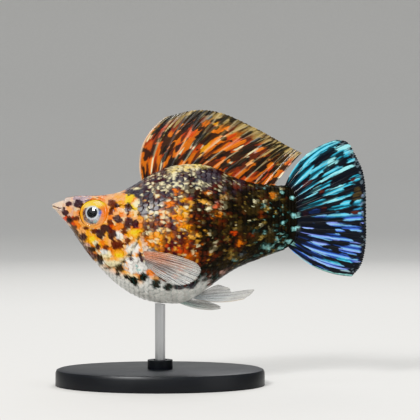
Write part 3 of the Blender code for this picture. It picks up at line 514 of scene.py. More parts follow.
BELLY_SPOTS = [
    ("rust", [(42.6, -24.4, 1.7, 1.1), (36.6, -22.9, 1.5, 0.9)]), ("orange", [(32, -20.8, 1.7, 1.2),
        (35.4, -20.9, 1.4, 0.9), (39.2, -22.2, 1.2, 0.8)]), ("peach", [(33.2, -22.6, 1.3, 0.7)]),
    ("charcoal", [(40.6, -25.2, 1.7, 1.2), (44.3, -25.4, 1.6, 1), (38.6, -21, 1.2, 0.9),
        (35.2, -22, 1, 0.7)]), ("black", [(26.5, -23.3, 1.5, 1.25), (26.9, -24.8, 0.5, 0.7),
        (29.6, -22.2, 1.4, 1.3), (33.4, -24.5, 1.7, 1.4), (37.4, -25.5, 1.5, 1.1),
        (24.2, -22.4, 0.9, 0.8)]), ("charcoal", [(50.3, 9.2, 3.3, 2.5), (47.6, 10.2, 1.8, 1.4)]),
]


def mosaic(place, grain, sharp):
    """Colour of the body's mottling: each pigment's share near a point, settled by the noise."""
    x, z = place[..., 0], place[..., 2]
    reach = np.stack([hump(x, mx, rx) * hump(z, mz, rz) for (mx, mz), (rx, rz), _ in ZONES]) + 1e-6
    reach /= reach.sum(0)
    score = []
    for number, name in enumerate(MOSAIC):
        amount = sum(share * mix.get(name, 0) for share, (_, _, mix) in zip(reach, ZONES))
        clump = cloud(place, 3.0, 11 * number + 3) * 1.5 + cloud(place, 1.2, 11 * number + 7) * 1.9
        score.append(np.log(amount + 1e-3) + clump + grain[..., number])
    score = np.stack(score)
    weight = np.exp((score - score.max(0)) * sharp)
    weight /= weight.sum(0)
    return sum(weight[k][..., None] * PAINT[name] for k, name in enumerate(MOSAIC))


def patched(colour, patches, place, sharp, rough=1.0, worn=0.0):
    """Patches laid over a colour, each with a ragged rim and, if worn, with small gaps in it."""
    x, z = place[..., 0], place[..., 2]
    tone = (0.8 + 0.4 * cloud(place, 0.9, 33))[..., None]
    whole = 0.96 * (1 - worn * fleck(place, 0.6, 0.72, 0.7, 29))
    ragged = rough * (1.1 * (cloud(place, 1.3, 21) - 0.5) + 0.8 * (cloud(place, 0.55, 27) - 0.5))
    for name, spots in patches:
        away = np.min([np.hypot((x - mx) / rx, (z - mz) / rz) for mx, mz, rx, rz in spots], axis=0)
        colour = over(colour, PAINT[name] * tone, whole * smooth(1.0 + sharp, 1.0 - sharp, away + ragged))
    return colour


def with_head_ground(colour, place, ragged):
    """Warm ground of the head, which ends along the shoulder, just behind the gill cover."""
    x, z = place[..., 0], place[..., 2]
    border = np.interp(z, [-8, 1, 4, 7], [29.4, 28.6, 24.5, 20])
    head = smooth(border + 0.5, border - 0.5, x + ragged) * smooth(-22.5, -19.0, z + 0.4 * x - 8)
    ground = layered(
        "peach", ("orange", 0.8 * fleck(place, 0.46, 0.62, 2.2, 9)),
        ("amber", 0.7 * fleck(place, 0.56, 0.68, 1.9, 11)),
        ("cream", 0.7 * fleck(place, 0.58, 0.72, 1.3, 13)),
        ("snout", 0.75 * smooth(11, 6, x + 2 * ragged)))
    return over(colour, ground, head)


def with_flank_flecks(colour, place, ragged, flank):
    """Dark blotches of the nape, and fine flecks all over the flank, fewer towards the belly."""
    x, z = place[..., 0], place[..., 2]
    fore, high = smooth(62, 50, x), smooth(2.0, 5.0, z)
    shown = smooth(28.5, 30.5, x + ragged) * smooth(-25, -16, z)
    shown = shown * smooth(-20, -17, z + 0.35 * np.maximum(30 - x, 0))
    nape = smooth(1.0, 4.5, z + ragged) * smooth(27, 30, x) * smooth(60, 52, x)
    deep = over("plum", "black", smooth(40, 48, x))
    light = over("cream", "amber", 0.85 * fleck(place, 0.36, 0.5, 1.8, 53) * smooth(5, 2, z))
    speck = smooth(0.71 - 0.06 * high, 0.76 - 0.06 * high,
                   cloud(place, 1.1, 49) * (1 - high) + cloud(place, 0.85, 50) * high)
    blotch = fleck(place, 0.5, 0.55, 2.7, 71) * smooth(42, 50, x + 2 * ragged) * smooth(-25, -22, z)
    return layered(
        colour, (over("charcoal", "slate", 0.45), 0.92 * fleck(place, 0.46, 0.52, 3.4, 73) * nape * flank),
        (deep, 0.9 * shown * fleck(place, 0.55, 0.6, 2.3, 45) * fore),
        ("brown", 0.8 * shown * fleck(place, 0.66, 0.74, 0.8, 47) * fore),
        (light, (0.85 + 0.1 * high) * shown * speck * smooth(62, 46, x)), ("black", 0.85 * blotch))


def with_rear_specks(colour, place, ragged):
    """Fine olive, tan and shining specks on the dark rear, and the dark root with its pale spots."""
    x, z = place[..., 0], place[..., 2]
    rear = smooth(50, 60, x + 2 * ragged) * smooth(-24, -19, z)
    shining = rear * smooth(60, 72, x) * smooth(76, 73, x)
    colour = layered(
        colour, ("olive", 0.4 * rear * fleck(place, 0.6, 0.72, 1.8, 65)),
        ("tan", 0.7 * rear * smooth(75, 72, x) * fleck(place, 0.83, 0.89, 0.9, 63)),
        ("teal", 0.8 * shining * fleck(place, 0.84, 0.9, 0.9, 67)),
        ("black", 0.9 * smooth(73.5, 76.0, x + ragged)))
    return patched(colour, ROOT_SPOTS, place, 0.15, 0.7)


def with_sheath(colour, place, ragged):
    """Scaled sheath at the foot of the dorsal fin, pale above the dark saddle."""
    x, z = place[..., 0], place[..., 2]
    foot = through(BACK, x) - z + 0.8 * ragged
    sheath = smooth(2.7, 1.5, foot + 1.6 * smooth(46, 48.5, x)) * smooth(36, 38.5, x) * smooth(53, 50.5, x)
    pale = over("cream", "yellow", 0.6 * fleck(place, 0.4, 0.7, 1.1, 55))
    return over(colour, pale, 0.9 * sheath * fleck(place, 0.75, 0.55, 0.9, 57))


def with_head_marks(colour, place, ragged, flank):
    """Patches of the head, its crown of lilac and grey between dark spots, its chin and the belly."""
    x, z = place[..., 0], place[..., 2]
    crown = layered(
        "snout", ("lilac", fleck(place, 0.35, 0.6, 1.8, 35)),
        ("peach", 0.8 * fleck(place, 0.52, 0.7, 2.0, 37)),
        ("plum", 0.95 * fleck(place, 0.52, 0.6, 1.5, 39)))
    chin = smooth(-0.6, -2, z) * smooth(16, 10, x + 2.5 * ragged) * fleck(place, 0.2, 0.5, 1.4, 41)
    front = layered(patched(colour, HEAD_PATCHES, place, 0.12, 0.6), (crown, (1 - flank) * (z > 0)),
                    ("chin", 0.75 * (1 - flank) * chin))
    shown = smooth(31.5, 30.0, x + ragged) * np.maximum(flank, smooth(21, 18, x))
    return patched(over(colour, front, shown), BELLY_SPOTS, place, 0.12, 0.5)


def with_edges(colour, place, ragged, flank):
    """Gill cover's pale edge with painted shade in the slit behind it, the lips, the cleft of the mouth with
    painted shade in it, and the jaws' rims.
    """
    x, z = place[..., 0], place[..., 2]
    edge = distance_to(COVER_LINE, x, z, closed=True)
    within = inside(COVER_LINE, x, z)
    free = 1 - smooth(20.0, 18.4, x) * smooth(-17.0, -14.6, z)
    cleft = np.abs(z - (MOUTH_TIP + MOUTH_SLOPE * x))
    jaws = smooth(4.2, 3.2, x + 0.5 * ragged) * smooth(-3.2, -1.2, z - 0.2 * x)
    return layered(
        colour, ("cream", 0.6 * within * free * smooth(0.75, 0.3, edge) * smooth(-8, -14, z)),
        # Painted shade: dark brown in the gill slit, just outside the cover's free edge
        ("chin", 0.85 * free * flank * smooth(0.42, 0.12, edge) * ~within),
        ("lip", 0.85 * jaws), ("lilac", 0.6 * jaws * fleck(place, 0.5, 0.7, 0.8, 43)),
        # Painted shade: dark brown along the cleft of the mouth
        ("brown", 0.9 * smooth(0.16, 0.05, cleft) * smooth(3.4, 2.6, x)))


def body_colour(points, grain=0.0, sharp=4.5):
    """Colour of skin or scale at points of the body."""
    x, y, _ = np.moveaxis(points, -1, 0)
    grain = np.broadcast_to(grain, x.shape + (len(MOSAIC),))
    ragged = 1.6 * (cloud(points, 2.2, 31) - 0.5)
    # Share of the flank: 1 on both sides, 0 on the ridge of the back and on the keel
    flank = smooth(0.22, 0.5, np.abs(y) / through(HALF_WIDTH, x) + 0.1 * ragged)
    colour = with_head_ground(mosaic(points, grain, sharp), points, ragged)
    blotched = patched(colour, FLANK_PATCHES, points, 0.1, 1.25, 0.8)
    colour = over(colour, blotched, flank * smooth(27.5, 28.5, x))
    colour = with_flank_flecks(colour, points, ragged, flank)
    colour = with_sheath(with_rear_specks(colour, points, ragged), points, ragged)
    colour = with_head_marks(colour, points, ragged, flank)
    return with_edges(colour, points, ragged, flank)


# ---- Meshes

def add_piece(name, points, faces, finish, slot, replaced=(), pigment=None, maps=()):
    """Smooth closed mesh piece that rides on the stand's only body. Points are those of the fish."""
    points = np.asarray(points) * PART + FISH_FRAME
    faces = np.asarray(faces, np.int32)
    a, b, c = np.moveaxis(points[faces], 1, 0)
    if (a * np.cross(b, c)).sum() < 0:  # its faces look inwards
        faces = faces[:, ::-1]
    mesh = bpy.data.meshes.new(name)
    mesh.vertices.add(len(points))
    mesh.vertices.foreach_set("co", points.astype(np.float32).ravel())
    mesh.loops.add(faces.size)
    mesh.loops.foreach_set("vertex_index", faces.ravel())
    mesh.polygons.add(len(faces))
    mesh.polygons.foreach_set("loop_start", np.arange(0, faces.size, faces.shape[1], dtype=np.int32))
    mesh.polygons.foreach_set("use_smooth", np.ones(len(faces), bool))
    mesh.update(calc_edges=True)
    if pigment is not None:
        if pigment.shape[-1] == 3:
            pigment = with_opacity(pigment, 1.0)
        layer = mesh.color_attributes.new("Pigment", "FLOAT_COLOR", "POINT")
        layer.data.foreach_set("color", np.asarray(pigment, np.float32).ravel())
    for word, values in maps:
        layer = mesh.uv_layers.new(name=word, do_init=False)
        layer.data.foreach_set("uv", np.asarray(values, np.float32)[faces.ravel()].ravel())
    mesh.validate()
    mesh.materials.append(FINISHES[finish])
    piece = bpy.data.objects.new(name, mesh)
    bpy.context.scene.collection.objects.link(piece)
    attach(piece, "root")
    if replaced:
        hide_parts(*replaced)
    return piece


def grid_faces(rows, columns, closed=False):
    """Faces of a grid of points, row by row, whose columns may close."""
    i, j = np.meshgrid(np.arange(rows - 1), np.arange(columns if closed else columns - 1), indexing="ij")
    k = (j + 1) % columns
    quads = np.stack([i * columns + j, i * columns + k, (i + 1) * columns + k, (i + 1) * columns + j], -1)
    return quads.reshape(-1, 4)


def halved(quads):
    """Two triangles for each four-sided face."""
    return np.concatenate([quads[:, [0, 1, 2]], quads[:, [0, 2, 3]]])


def slab_faces(rows, columns):
    """Faces of two grids of points, one over the other, and of the wall that joins their rims."""
    sheet, under = grid_faces(rows, columns), rows * columns
    rim = np.concatenate([np.arange(rows) * columns, (rows - 1) * columns + np.arange(1, columns),
                          np.arange(rows - 2, -1, -1) * columns + columns - 1,
                          np.arange(columns - 2, 0, -1)])
    follow = np.roll(rim, -1)
    wall = np.stack([rim, follow, follow + under, rim + under], -1)
    return np.concatenate([sheet, sheet[:, ::-1] + under, wall])


def capped(grid):
    """Points and triangles of rings that close round and run out in a point at both ends."""
    rows, columns = grid.shape[:2]
    loop, last = np.arange(columns), (rows - 1) * columns
    ahead = np.roll(loop, -1)
    ends = [np.stack([ahead, loop, np.full(columns, rows * columns)], -1),
            np.stack([loop + last, ahead + last, np.full(columns, rows * columns + 1)], -1)]
    points = np.concatenate([grid.reshape(-1, 3), [grid[0].mean(0)], [grid[-1].mean(0)]])
    return points, np.concatenate([halved(grid_faces(rows, columns, closed=True)), *ends])


def with_opacity(colour, opacity):
    """Colours with a fourth number for opacity."""
    return np.concatenate([colour, np.broadcast_to(opacity, colour.shape[:-1])[..., None]], -1)


# ---- Materials

def add(material, kind, links=(), **settings):
    """Node of a material, with its settings and what feeds each of its sockets."""
    made = material.node_tree.nodes.new(kind)
    for name, value in settings.items():
        setattr(made, name, value)
    for socket, value in dict(links).items():
        if isinstance(value, bpy.types.NodeSocket):
            material.node_tree.links.new(value, made.inputs[socket])
        else:
            made.inputs[socket].default_value = value
    return made


def new_material(name):
    """Empty material that uses nodes, and the place on the object that its patterns follow."""
    material = bpy.data.materials.new(name)
    material.use_nodes = True
    material.node_tree.nodes.clear()
    return material, add(material, "ShaderNodeTexCoord").outputs["Object"]


def finish_material(material, surface):
    """Gives the material its surface."""
    add(material, "ShaderNodeOutputMaterial", {"Surface": surface})
    return material


def opaque(code):
    """Node colour of an sRGB hex code."""
    return (*linear(code), 1)


def mottled(material, place, grain_mm, darkest, lightest):
    """Pigments of the mesh in a fine mottle, their opacity, and the mottle itself."""
    pigment = add(material, "ShaderNodeAttribute", attribute_name="Pigment")
    grain = add(material, "ShaderNodeTexNoise", {
        "Vector": place, "Scale": 1 / (grain_mm * MM), "Detail": 3.0}).outputs["Fac"]
    tone = add(material, "ShaderNodeMapRange", {
        "Value": grain, "From Min": 0.25, "From Max": 0.75, "To Min": darkest, "To Max": lightest})
    shade = add(material, "ShaderNodeVectorMath", {0: pigment.outputs["Color"], 1: tone.outputs["Result"]},
                operation="MULTIPLY")
    return shade.outputs["Vector"], pigment.outputs["Alpha"], grain


def wet_skin(name, grain_mm, bump, ridges=False):
    """Skin or scales under a thin coat of slime, which gives them a wet gloss over soft pigment."""
    material, place = new_material(name)
    shade, _, grain = mottled(material, place, grain_mm, 0.82, 1.14)
    height = grain
    if ridges:  # growth rings of a scale, 0.06 mm apart and drawn coarser than real ones
        spot = add(material, "ShaderNodeUVMap", uv_map="ScalePlace").outputs["UV"]
        rings = add(material, "ShaderNodeTexWave", {
            "Vector": spot, "Scale": 5.0, "Distortion": 1.2, "Detail": 1.0},
            wave_type="RINGS", rings_direction="SPHERICAL")
        height = add(material, "ShaderNodeMix", {0: 0.45, 2: grain, 3: rings.outputs["Fac"]}).outputs[0]
    raised = add(material, "ShaderNodeBump", {"Height": height, "Strength": bump, "Distance": 0.05 * MM})
    gloss = add(material, "ShaderNodeMapRange", {
        "Value": grain, "From Min": 0.3, "From Max": 0.7, "To Min": 0.3, "To Max": 0.42})
    # Its IOR and that of the slime are lowered towards those of wet tissue seen under water
    surface = add(material, "ShaderNodeBsdfPrincipled", {
        "Base Color": shade, "Roughness": gloss.outputs["Result"], "Normal": raised.outputs["Normal"],
        "IOR": 1.25, "Coat Weight": 0.5, "Coat Roughness": 0.12, "Coat IOR": 1.3})
    return finish_material(material, surface.outputs["BSDF"])


def fin_membrane(name, joint_mm, roughness):
    """Wet fin membrane stretched over bony rays, whose short joints show as fine cross bars."""
    material, place = new_material(name)
    shade, opacity, grain = mottled(material, place, 0.25, 0.85, 1.12)
    along = add(material, "ShaderNodeUVMap", uv_map="FinPlace").outputs["UV"]
    joints = add(material, "ShaderNodeTexWave", {
        "Vector": along, "Scale": 1 / joint_mm, "Distortion": 1.0, "Detail": 1.0}, bands_direction="Y")
    height = add(material, "ShaderNodeMix", {0: 0.5, 2: joints.outputs["Fac"], 3: grain}).outputs[0]
    raised = add(material, "ShaderNodeBump", {"Height": height, "Strength": 0.35, "Distance": 0.04 * MM})
    surface = add(material, "ShaderNodeBsdfPrincipled", {
        "Base Color": shade, "Alpha": opacity, "Roughness": roughness, "Normal": raised.outputs["Normal"],
        "IOR": 1.4, "Coat Weight": 0.35, "Coat Roughness": 0.15})
    return finish_material(material, surface.outputs["BSDF"])


def eye_tissue():
    """Pigment and guanine crystals of the iris behind a smooth wet surface."""
    material, _ = new_material("iris and lens of the eye")
    pigment = add(material, "ShaderNodeAttribute", attribute_name="Pigment")
    surface = add(material, "ShaderNodeBsdfPrincipled", {
        "Base Color": pigment.outputs["Color"], "Roughness": 0.34, "IOR": 1.36})
    return finish_material(material, surface.outputs["BSDF"])


def clear_cornea():
    """Clear tissue, so thin that it only adds a sharp highlight."""
    material, _ = new_material("clear cornea")
    clear = add(material, "ShaderNodeBsdfTransparent", {"Color": (0.98, 0.98, 0.98, 1)})
    shine = add(material, "ShaderNodeBsdfGlossy", {"Color": (1, 1, 1, 1), "Roughness": 0.03})
    both = add(material, "ShaderNodeMixShader", {
        0: 0.04, 1: clear.outputs["BSDF"], 2: shine.outputs["BSDF"]})
    return finish_material(material, both.outputs["Shader"])


def moulded_plastic():
    """Black ABS with a fine moulded texture of 0.4 mm, satin to the eye, its gloss uneven over 9 mm."""
    material, place = new_material("moulded black ABS")
    texture = add(material, "ShaderNodeTexNoise", {"Vector": place, "Scale": 1 / (0.4 * MM), "Detail": 2.0})
    worn = add(material, "ShaderNodeTexNoise", {"Vector": place, "Scale": 1 / (9 * MM), "Detail": 3.0})
    raised = add(material, "ShaderNodeBump", {
        "Height": texture.outputs["Fac"], "Strength": 0.25, "Distance": 0.03 * MM})
    dull = add(material, "ShaderNodeMapRange", {
        "Value": worn.outputs["Fac"], "To Min": 0.3, "To Max": 0.46})
    tone = add(material, "ShaderNodeMix", {
        0: worn.outputs["Fac"], 6: opaque("#1a1b1d"), 7: opaque("#26272a")}, data_type="RGBA")
    surface = add(material, "ShaderNodeBsdfPrincipled", {
        "Base Color": tone.outputs[2], "Roughness": dull.outputs["Result"],
        "Normal": raised.outputs["Normal"], "IOR": 1.54})
    return finish_material(material, surface.outputs["BSDF"])


def brushed_steel():
    """Drawn stainless steel, brushed along its length by a 0.1 mm grit in strokes about 17 mm long."""
    material, place = new_material("brushed stainless steel")
    grit = 1 / (0.1 * MM)
    stretched = add(material, "ShaderNodeMapping", {"Vector": place, "Scale": (grit, grit, 60)})
    lines = add(material, "ShaderNodeTexNoise", {
        "Vector": stretched.outputs["Vector"], "Scale": 1.0, "Detail": 3.0})
    raised = add(material, "ShaderNodeBump", {
        "Height": lines.outputs["Fac"], "Strength": 0.3, "Distance": 0.02 * MM})
    dull = add(material, "ShaderNodeMapRange", {
        "Value": lines.outputs["Fac"], "To Min": 0.22, "To Max": 0.42})
    surface = add(material, "ShaderNodeBsdfPrincipled", {
        "Base Color": opaque("#b9babb"), "Metallic": 1.0, "Roughness": dull.outputs["Result"],
        "Normal": raised.outputs["Normal"]})
    return finish_material(material, surface.outputs["BSDF"])


def white_card():
    """Matt card whose fibres vary its tone a little every 3 mm."""
    material, place = new_material("matt white card")
    fibre = add(material, "ShaderNodeTexNoise", {"Vector": place, "Scale": 1 / (3 * MM), "Detail": 4.0})
    tone = add(material, "ShaderNodeMix", {
        0: fibre.outputs["Fac"], 6: opaque("#d3d1cd"), 7: opaque("#d8d6d2")}, data_type="RGBA")
    surface = add(material, "ShaderNodeBsdfPrincipled", {"Base Color": tone.outputs[2], "Roughness": 0.85})
    return finish_material(material, surface.outputs["BSDF"])


FINISHES = {
    "skin": wet_skin("wet bare skin", 0.5, 0.35),
    "scales": wet_skin("wet cycloid scales", 0.35, 0.4, ridges=True),
    "fin": fin_membrane("wet pigmented fin membrane", 0.45, 0.4),
    "clear_fin": fin_membrane("wet clear fin membrane", 0.35, 0.3),
    "eye": eye_tissue(), "cornea": clear_cornea(), "base": moulded_plastic(), "rod": brushed_steel(),
    "floor": white_card(),
}


# ---- Skin and scales

def make_skin():
    """One closed skin over head, jaws, gill covers, trunk and tail stalk."""
    points, triangles = capped(SKIN)
    covered = ("head", "trunk", "tail_stalk", "gill_cover_left", "gill_cover_right", "jaw_upper", "jaw_lower")
    add_piece("skin", points, triangles, "skin", "skin", covered, pigment=body_colour(points))


def scale_places():
    """Middle of every scale: x and share of the way round, in rows that run along the body."""
    xs = [SCALE_START]
    while xs[-1] < SCALE_END:
        xs.append(xs[-1] + float(through(SCALE_STEP, xs[-1])))
    x, row = np.meshgrid(xs, np.arange(SCALE_ROWS), indexing="ij")
    share = (row + 0.5 * (np.arange(len(xs))[:, None] % 2)) / SCALE_ROWS
    x, share = x.ravel(), share.ravel()
    spot = read_grid(PLAIN, x, share)
    _, y, z = spot.T
    # Bare places: round the eye, in the gill slit, along the dorsal fin, at the vent, at the pectoral fin
    bare = eye_distance(spot) <= 5.3
    bare |= (distance_to(COVER_LINE, x, z, closed=True) < 0.55) & ~((x < 19.2) & (z > -15.5))
    bare |= (np.abs(y) < 0.8) & (z > 0) & (x > 28) & (x < 71.5)
    bare |= (np.abs(y) < 0.9) & (z < -20) & (x > 39) & (x < 49.5)
    bare |= np.hypot(x - 28.7, (z + 16.2) * 0.7) < 1.7
    # The last scales end in a ragged arc over the root of the tail fin
    bare |= x > 77.4 - 0.03 * (z + 3) ** 2 - 1.2 * hashed(np.stack([x, share * 99, x], -1).astype(int), 5)
    return x[~bare], share[~bare]


def disc_grid(count):
    """Square grid of points pressed into a round disc, across and along it."""
    u, v = np.meshgrid(np.linspace(-1, 1, count), np.linspace(-1, 1, count), indexing="ij")
    return (u * np.sqrt(1 - v * v / 2)).ravel(), (v * np.sqrt(1 - u * u / 2)).ravel()


ACROSS, ALONG = disc_grid(SCALE_GRID)


def scale_shapes(x, share, draw):
    """Upper and lower points of every scale, which is sunk at its root and free at its rear edge."""
    count = len(x)
    way = np.linalg.norm(read_grid(PLAIN, x + 0.3, share) - read_grid(PLAIN, x - 0.3, share), axis=1)
    stretch = np.clip(way / 0.6, 1, 1.6)  # way over the skin for each hundredth of x
    girth = np.interp(x, RINGS, GIRTH)
    length = SCALE_LAP * through(SCALE_STEP, x) * stretch * draw.uniform(0.94, 1.06, count)
    width = np.interp(x, *zip(*SCALE_WIDTH)) * girth / SCALE_ROWS * draw.uniform(0.95, 1.05, count)
    turn = draw.normal(0, 0.05, count)
    x, share, stretch, girth, length, width, turn = (
        values[:, None] for values in (x, share, stretch, girth, length, width, turn))
    at_x = x + (ALONG * length + ACROSS * width * turn + 0.1 * length) / stretch
    at_share = share + (ACROSS * width - ALONG * length * turn) / girth
    base, normal = read_grid(SKIN, at_x, at_share), read_grid(SKIN_NORMAL, at_x, at_share)
    size = np.clip(length / 2.0, 0.4, 1.1) * (1 - 0.55 * smooth(70, 77, x)) * (1 - 0.4 * smooth(29, 22, x))
    lift = SKIN_DEPTH + size * (-0.12 + 0.085 * (ALONG + 1) + 0.03 * (1 - ACROSS**2))
    lift = lift - 0.1 * smooth(73, 77.5, x) + draw.normal(0, 0.012, count)[:, None] * (ALONG + 1)
    thick = SCALE_THICK * size * (1 - 0.6 * smooth(0.55, 1.0, np.hypot(ACROSS, ALONG)))
    return base + normal * lift[..., None], base + normal * (lift - thick)[..., None]


def scale_colours(x, middle, top, draw):
    """Pigment of every scale: the body's own marks, and a little of one choice for each whole scale."""
    count, z = len(x), middle[:, 2]
    grain = draw.gumbel(0, 0.4, (count, len(MOSAIC)))
    whole = body_colour(middle, grain, sharp=7.0)[:, None, :]
    belly = smooth(-19, -22, z + 0.25 * np.maximum(x - 40, 0))[:, None]
    colour = over(body_colour(top), whole, 0.15 * smooth(27, 31, x)[:, None] * (1 - 0.7 * belly))
    colour = colour * draw.uniform(0.86, 1.12, count)[:, None, None]
    # Pale flecks of reflecting crystals near the free edge of some scales
    chance = np.where(x < 27, 0.05, np.interp(z, [-20, -10, 0, 6], [0.02, 0.04, 0.05, 0.1]))
    flecked = draw.random(count) < chance * smooth(78, 50, x) * (1 - belly[:, 0])
    u, v, broad, long, slant = (draw.uniform(*span, count)[:, None] for span in (
        (-0.5, 0.5), (0.2, 0.6), (0.14, 0.3), (0.2, 0.42), (-0.5, 0.5)))
    away = np.hypot((ACROSS - u - slant * (ALONG - v)) / broad, (ALONG - v) / long)
    rear = smooth(58, 68, x) * (0.4 + 0.6 * smooth(-6, -12, z))
    tint = over("cream", "teal", rear * (draw.random(count) < 0.8))
    strength = np.where(flecked, draw.uniform(0.55, 0.95, count), 0)[:, None]
    colour = over(colour, tint[:, None, :], strength * smooth(1.25, 0.65, away))
    # Growth edge: a little darker at the rim of coloured scales, bluish on the belly
    edge = smooth(0.72, 0.98, np.hypot(ACROSS, ALONG)) * (ALONG > -0.2)
    colour = colour * (1 - 0.15 * edge * (1 - belly))[..., None]
    return over(colour, "teal", 0.16 * edge * belly)


def make_scales():
    """Thin round scales in overlapping rows, in four pieces of coat."""
    x, share = scale_places()
    draw = np.random.default_rng(7)
    middle = read_grid(PLAIN, x, share)
    top, under = scale_shapes(x, share, draw)
    colour = scale_colours(x, middle, top, draw)
    # Maps: each point's place on its own scale, and each scale's patch on the unwrapped skin
    own = stack(ACROSS * 0.5 + 0.5, ALONG * 0.5 + 0.5)
    root = stack(0.02 + 0.96 * x / TAIL_END, 0.01 + 0.98 * share)
    patch = root[:, None, :] + (own - 0.5) * BAKE_PATCH
    own = np.broadcast_to(own, patch.shape)
    pattern = halved(slab_faces(SCALE_GRID, SCALE_GRID))
    flank = (x >= HEAD_END) & (x < STALK_START)
    groups = {"scales_head": x < HEAD_END, "scales_left": flank & (middle[:, 1] < 0),
              "scales_right": flank & (middle[:, 1] >= 0), "scales_stalk": x >= STALK_START}
    for name, chosen in groups.items():
        first = 2 * SCALE_GRID**2 * np.arange(chosen.sum())
        points = np.concatenate([top[chosen], under[chosen]], 1).reshape(-1, 3)
        pigment, patches, owns = (np.repeat(values[chosen][:, None], 2, 1).reshape(-1, values.shape[-1])
                                  for values in (colour, patch, own))
        add_piece(name, points, (pattern + first[:, None, None]).reshape(-1, 3), "scales", "skin",
                  pigment=pigment, maps=(("OFBake", patches), ("ScalePlace", owns)))


# ---- Eyes

def iris_colour(radius, angle):
    """Colour of the eye at a distance from its middle and an angle from rearwards, upwards positive."""
    up, rear = np.sin(angle), np.cos(angle)
    place = stack(radius * rear, radius * up, 0 * radius)
    fibre = cloud(stack(radius * 0.4, angle * 5, 0 * radius), 0.5, 41)
    patchy = cloud(place, 0.9, 45)
    front = smooth(0.3, 0.85, -rear + 0.3 * (patchy - 0.5)) * smooth(1.9, 2.5, radius)
    iris = layered(
        "slate", ("plum", 0.6 * smooth(0.4, 0.65, fibre)), ("lilac", 0.7 * smooth(0.5, 0.65, patchy)),
        ("silver", 0.35 * smooth(0.6, 0.85, fibre) + 0.4 * smooth(0.2, 0.7, rear * -up * 2)),
        ("brown", 0.85 * front), ("tan", 0.5 * front * smooth(0.6, 0.75, patchy)),
        ("azure", 0.55 * smooth(1.1, 0.4, np.hypot(place[..., 0] - 2.7, place[..., 1] + 0.3))),
        ("teal", 0.6 * smooth(0.7, 0.3, np.hypot(place[..., 0] - 0.9, place[..., 1] + 3.0))),
        ("plum", 0.5 * smooth(3.0, 3.35, radius) * smooth(0.3, -0.3, up)))
    rim = layered(
        "amber", ("yellow", smooth(0.3, 0.8, up)),
        ("orange", smooth(-0.1, 0.6, rear) * smooth(0.75, 0.3, up)),
        ("peach", 0.7 * smooth(0.2, 0.8, -up)),
        ("cream", 0.45 * smooth(0.1, 0.8, -rear) * smooth(0.2, 0.6, up) * smooth(4.0, 3.0, radius)))
    # The yellow of the upper rim reaches down over the silver
    reach = 3.4 - 1.25 * smooth(0.2, 0.95, up) - 0.5 * smooth(0.3, 0.9, rear)
    return layered(
        iris, (rim, smooth(reach - 0.15, reach + 0.3, radius + 0.3 * (fibre - 0.5))),
        ("silver", 0.95 * smooth(2.25, 2.05, radius) * (0.7 + 0.3 * fibre)),
        ("pupil", smooth(PUPIL + 0.06, PUPIL - 0.06, radius)))


def make_eye_rim(word, side, turns):
    """Soft ring of skin that lies on the head's own surface round one eye."""
    centre, out, rear, up = eye_axes(side)
    around = np.arange(20) * 2 * math.pi / 20
    ring = []
    for turn in turns:
        aim = np.cos(turn) * rear + np.sin(turn) * up
        near = centre + RIM_FOOT * aim
        skin = np.array((near[0], side * float(half_width(near[0], near[2])), near[2]))
        level = max(float((skin - centre) @ out) - 0.06, -1.6)
        flat = RIM_RADIUS + RIM_BREADTH * np.cos(around)
        high = level + 0.05 + RIM_HEIGHT * np.sin(around) - 0.1 * np.cos(around)
        ring.append(centre + flat[:, None] * aim + high[:, None] * out)
    ring = np.array(ring)
    faces = halved(grid_faces(len(ring) + 1, len(around), closed=True) % (len(ring) * len(around)))
    tone = iris_colour(np.full(ring.shape[:2], RIM_FOOT), np.broadcast_to(turns[:, None], ring.shape[:2]))
    # Dark outline, strongest in front and above
    shade = 0.25 + 0.75 * smooth(-0.5, 0.6, np.sin(turns) - np.cos(turns))[:, None]
    tone = over(tone, "brown", shade * smooth(-0.2, 0.7, np.cos(around))[None])
    add_piece(f"eye_rim_{word}", ring.reshape(-1, 3), faces, "skin", "skin", pigment=tone.reshape(-1, 3))


def make_eyes():
    """Eyeballs with a domed lens in the pupil, clear corneas, and the soft rims round them."""
    turns = np.arange(96) * 2 * math.pi / 96
    for side, word in ((-1, "left"), (1, "right")):
        centre, out, rear, up = eye_axes(side)
        middle = centre + out * (EYE_BULGE - EYE_DEPTH)

        def dome(radius, level):
            """Rings of points round the eye's axis."""
            flat = radius[..., None] * (np.cos(turns)[:, None] * rear + np.sin(turns)[:, None] * up)
            return middle + flat + level[..., None] * out

        tilt = np.linspace(0.02, math.pi - 0.02, 44)[:, None] + 0 * turns
        radius, level = EYE_RADIUS * np.sin(tilt), EYE_DEPTH * np.cos(tilt)
        front = level > 0
        lens = 0.16 * np.sqrt(np.clip(1 - (radius / PUPIL) ** 2, 0, 1))
        lens = lens - 0.1 * hump(radius, PUPIL, 0.22) - 0.12
        ball, triangles = capped(dome(radius, level + lens * front))
        colour = iris_colour(np.where(front, radius, EYE_RADIUS), np.broadcast_to(turns, radius.shape))
        colour = np.concatenate([colour.reshape(-1, 3), [PAINT["pupil"], PAINT["peach"]]])
        add_piece(f"eyeball_{word}", ball, triangles, "eye", "eye", (f"eye_{word}",), pigment=colour)

        # Cornea: a thin bowl over the front of the eyeball
        tilt = np.linspace(0.02, 1.25, 24)[:, None] + 0 * turns
        radius, level = EYE_RADIUS - 0.05, EYE_DEPTH + 0.12
        shell = dome(radius * np.sin(tilt), level * np.cos(tilt) + 0.05)
        hollow = dome((radius - CORNEA_THICK) * np.sin(tilt), (level - 0.06) * np.cos(tilt) + 0.03)
        add_piece(f"cornea_{word}", *capped(np.concatenate([shell, hollow[::-1]])), "cornea", "eye")
        make_eye_rim(word, side, turns)


# ---- Fins

def line_of(knots, start, end, count=5):
    """Root of a fin along part of the outline."""
    places = start + (end - start) * np.linspace(0, 1, count)
    return [(k, (x, float(through(knots, x)))) for k, x in zip(np.linspace(0, 1, count), places)]


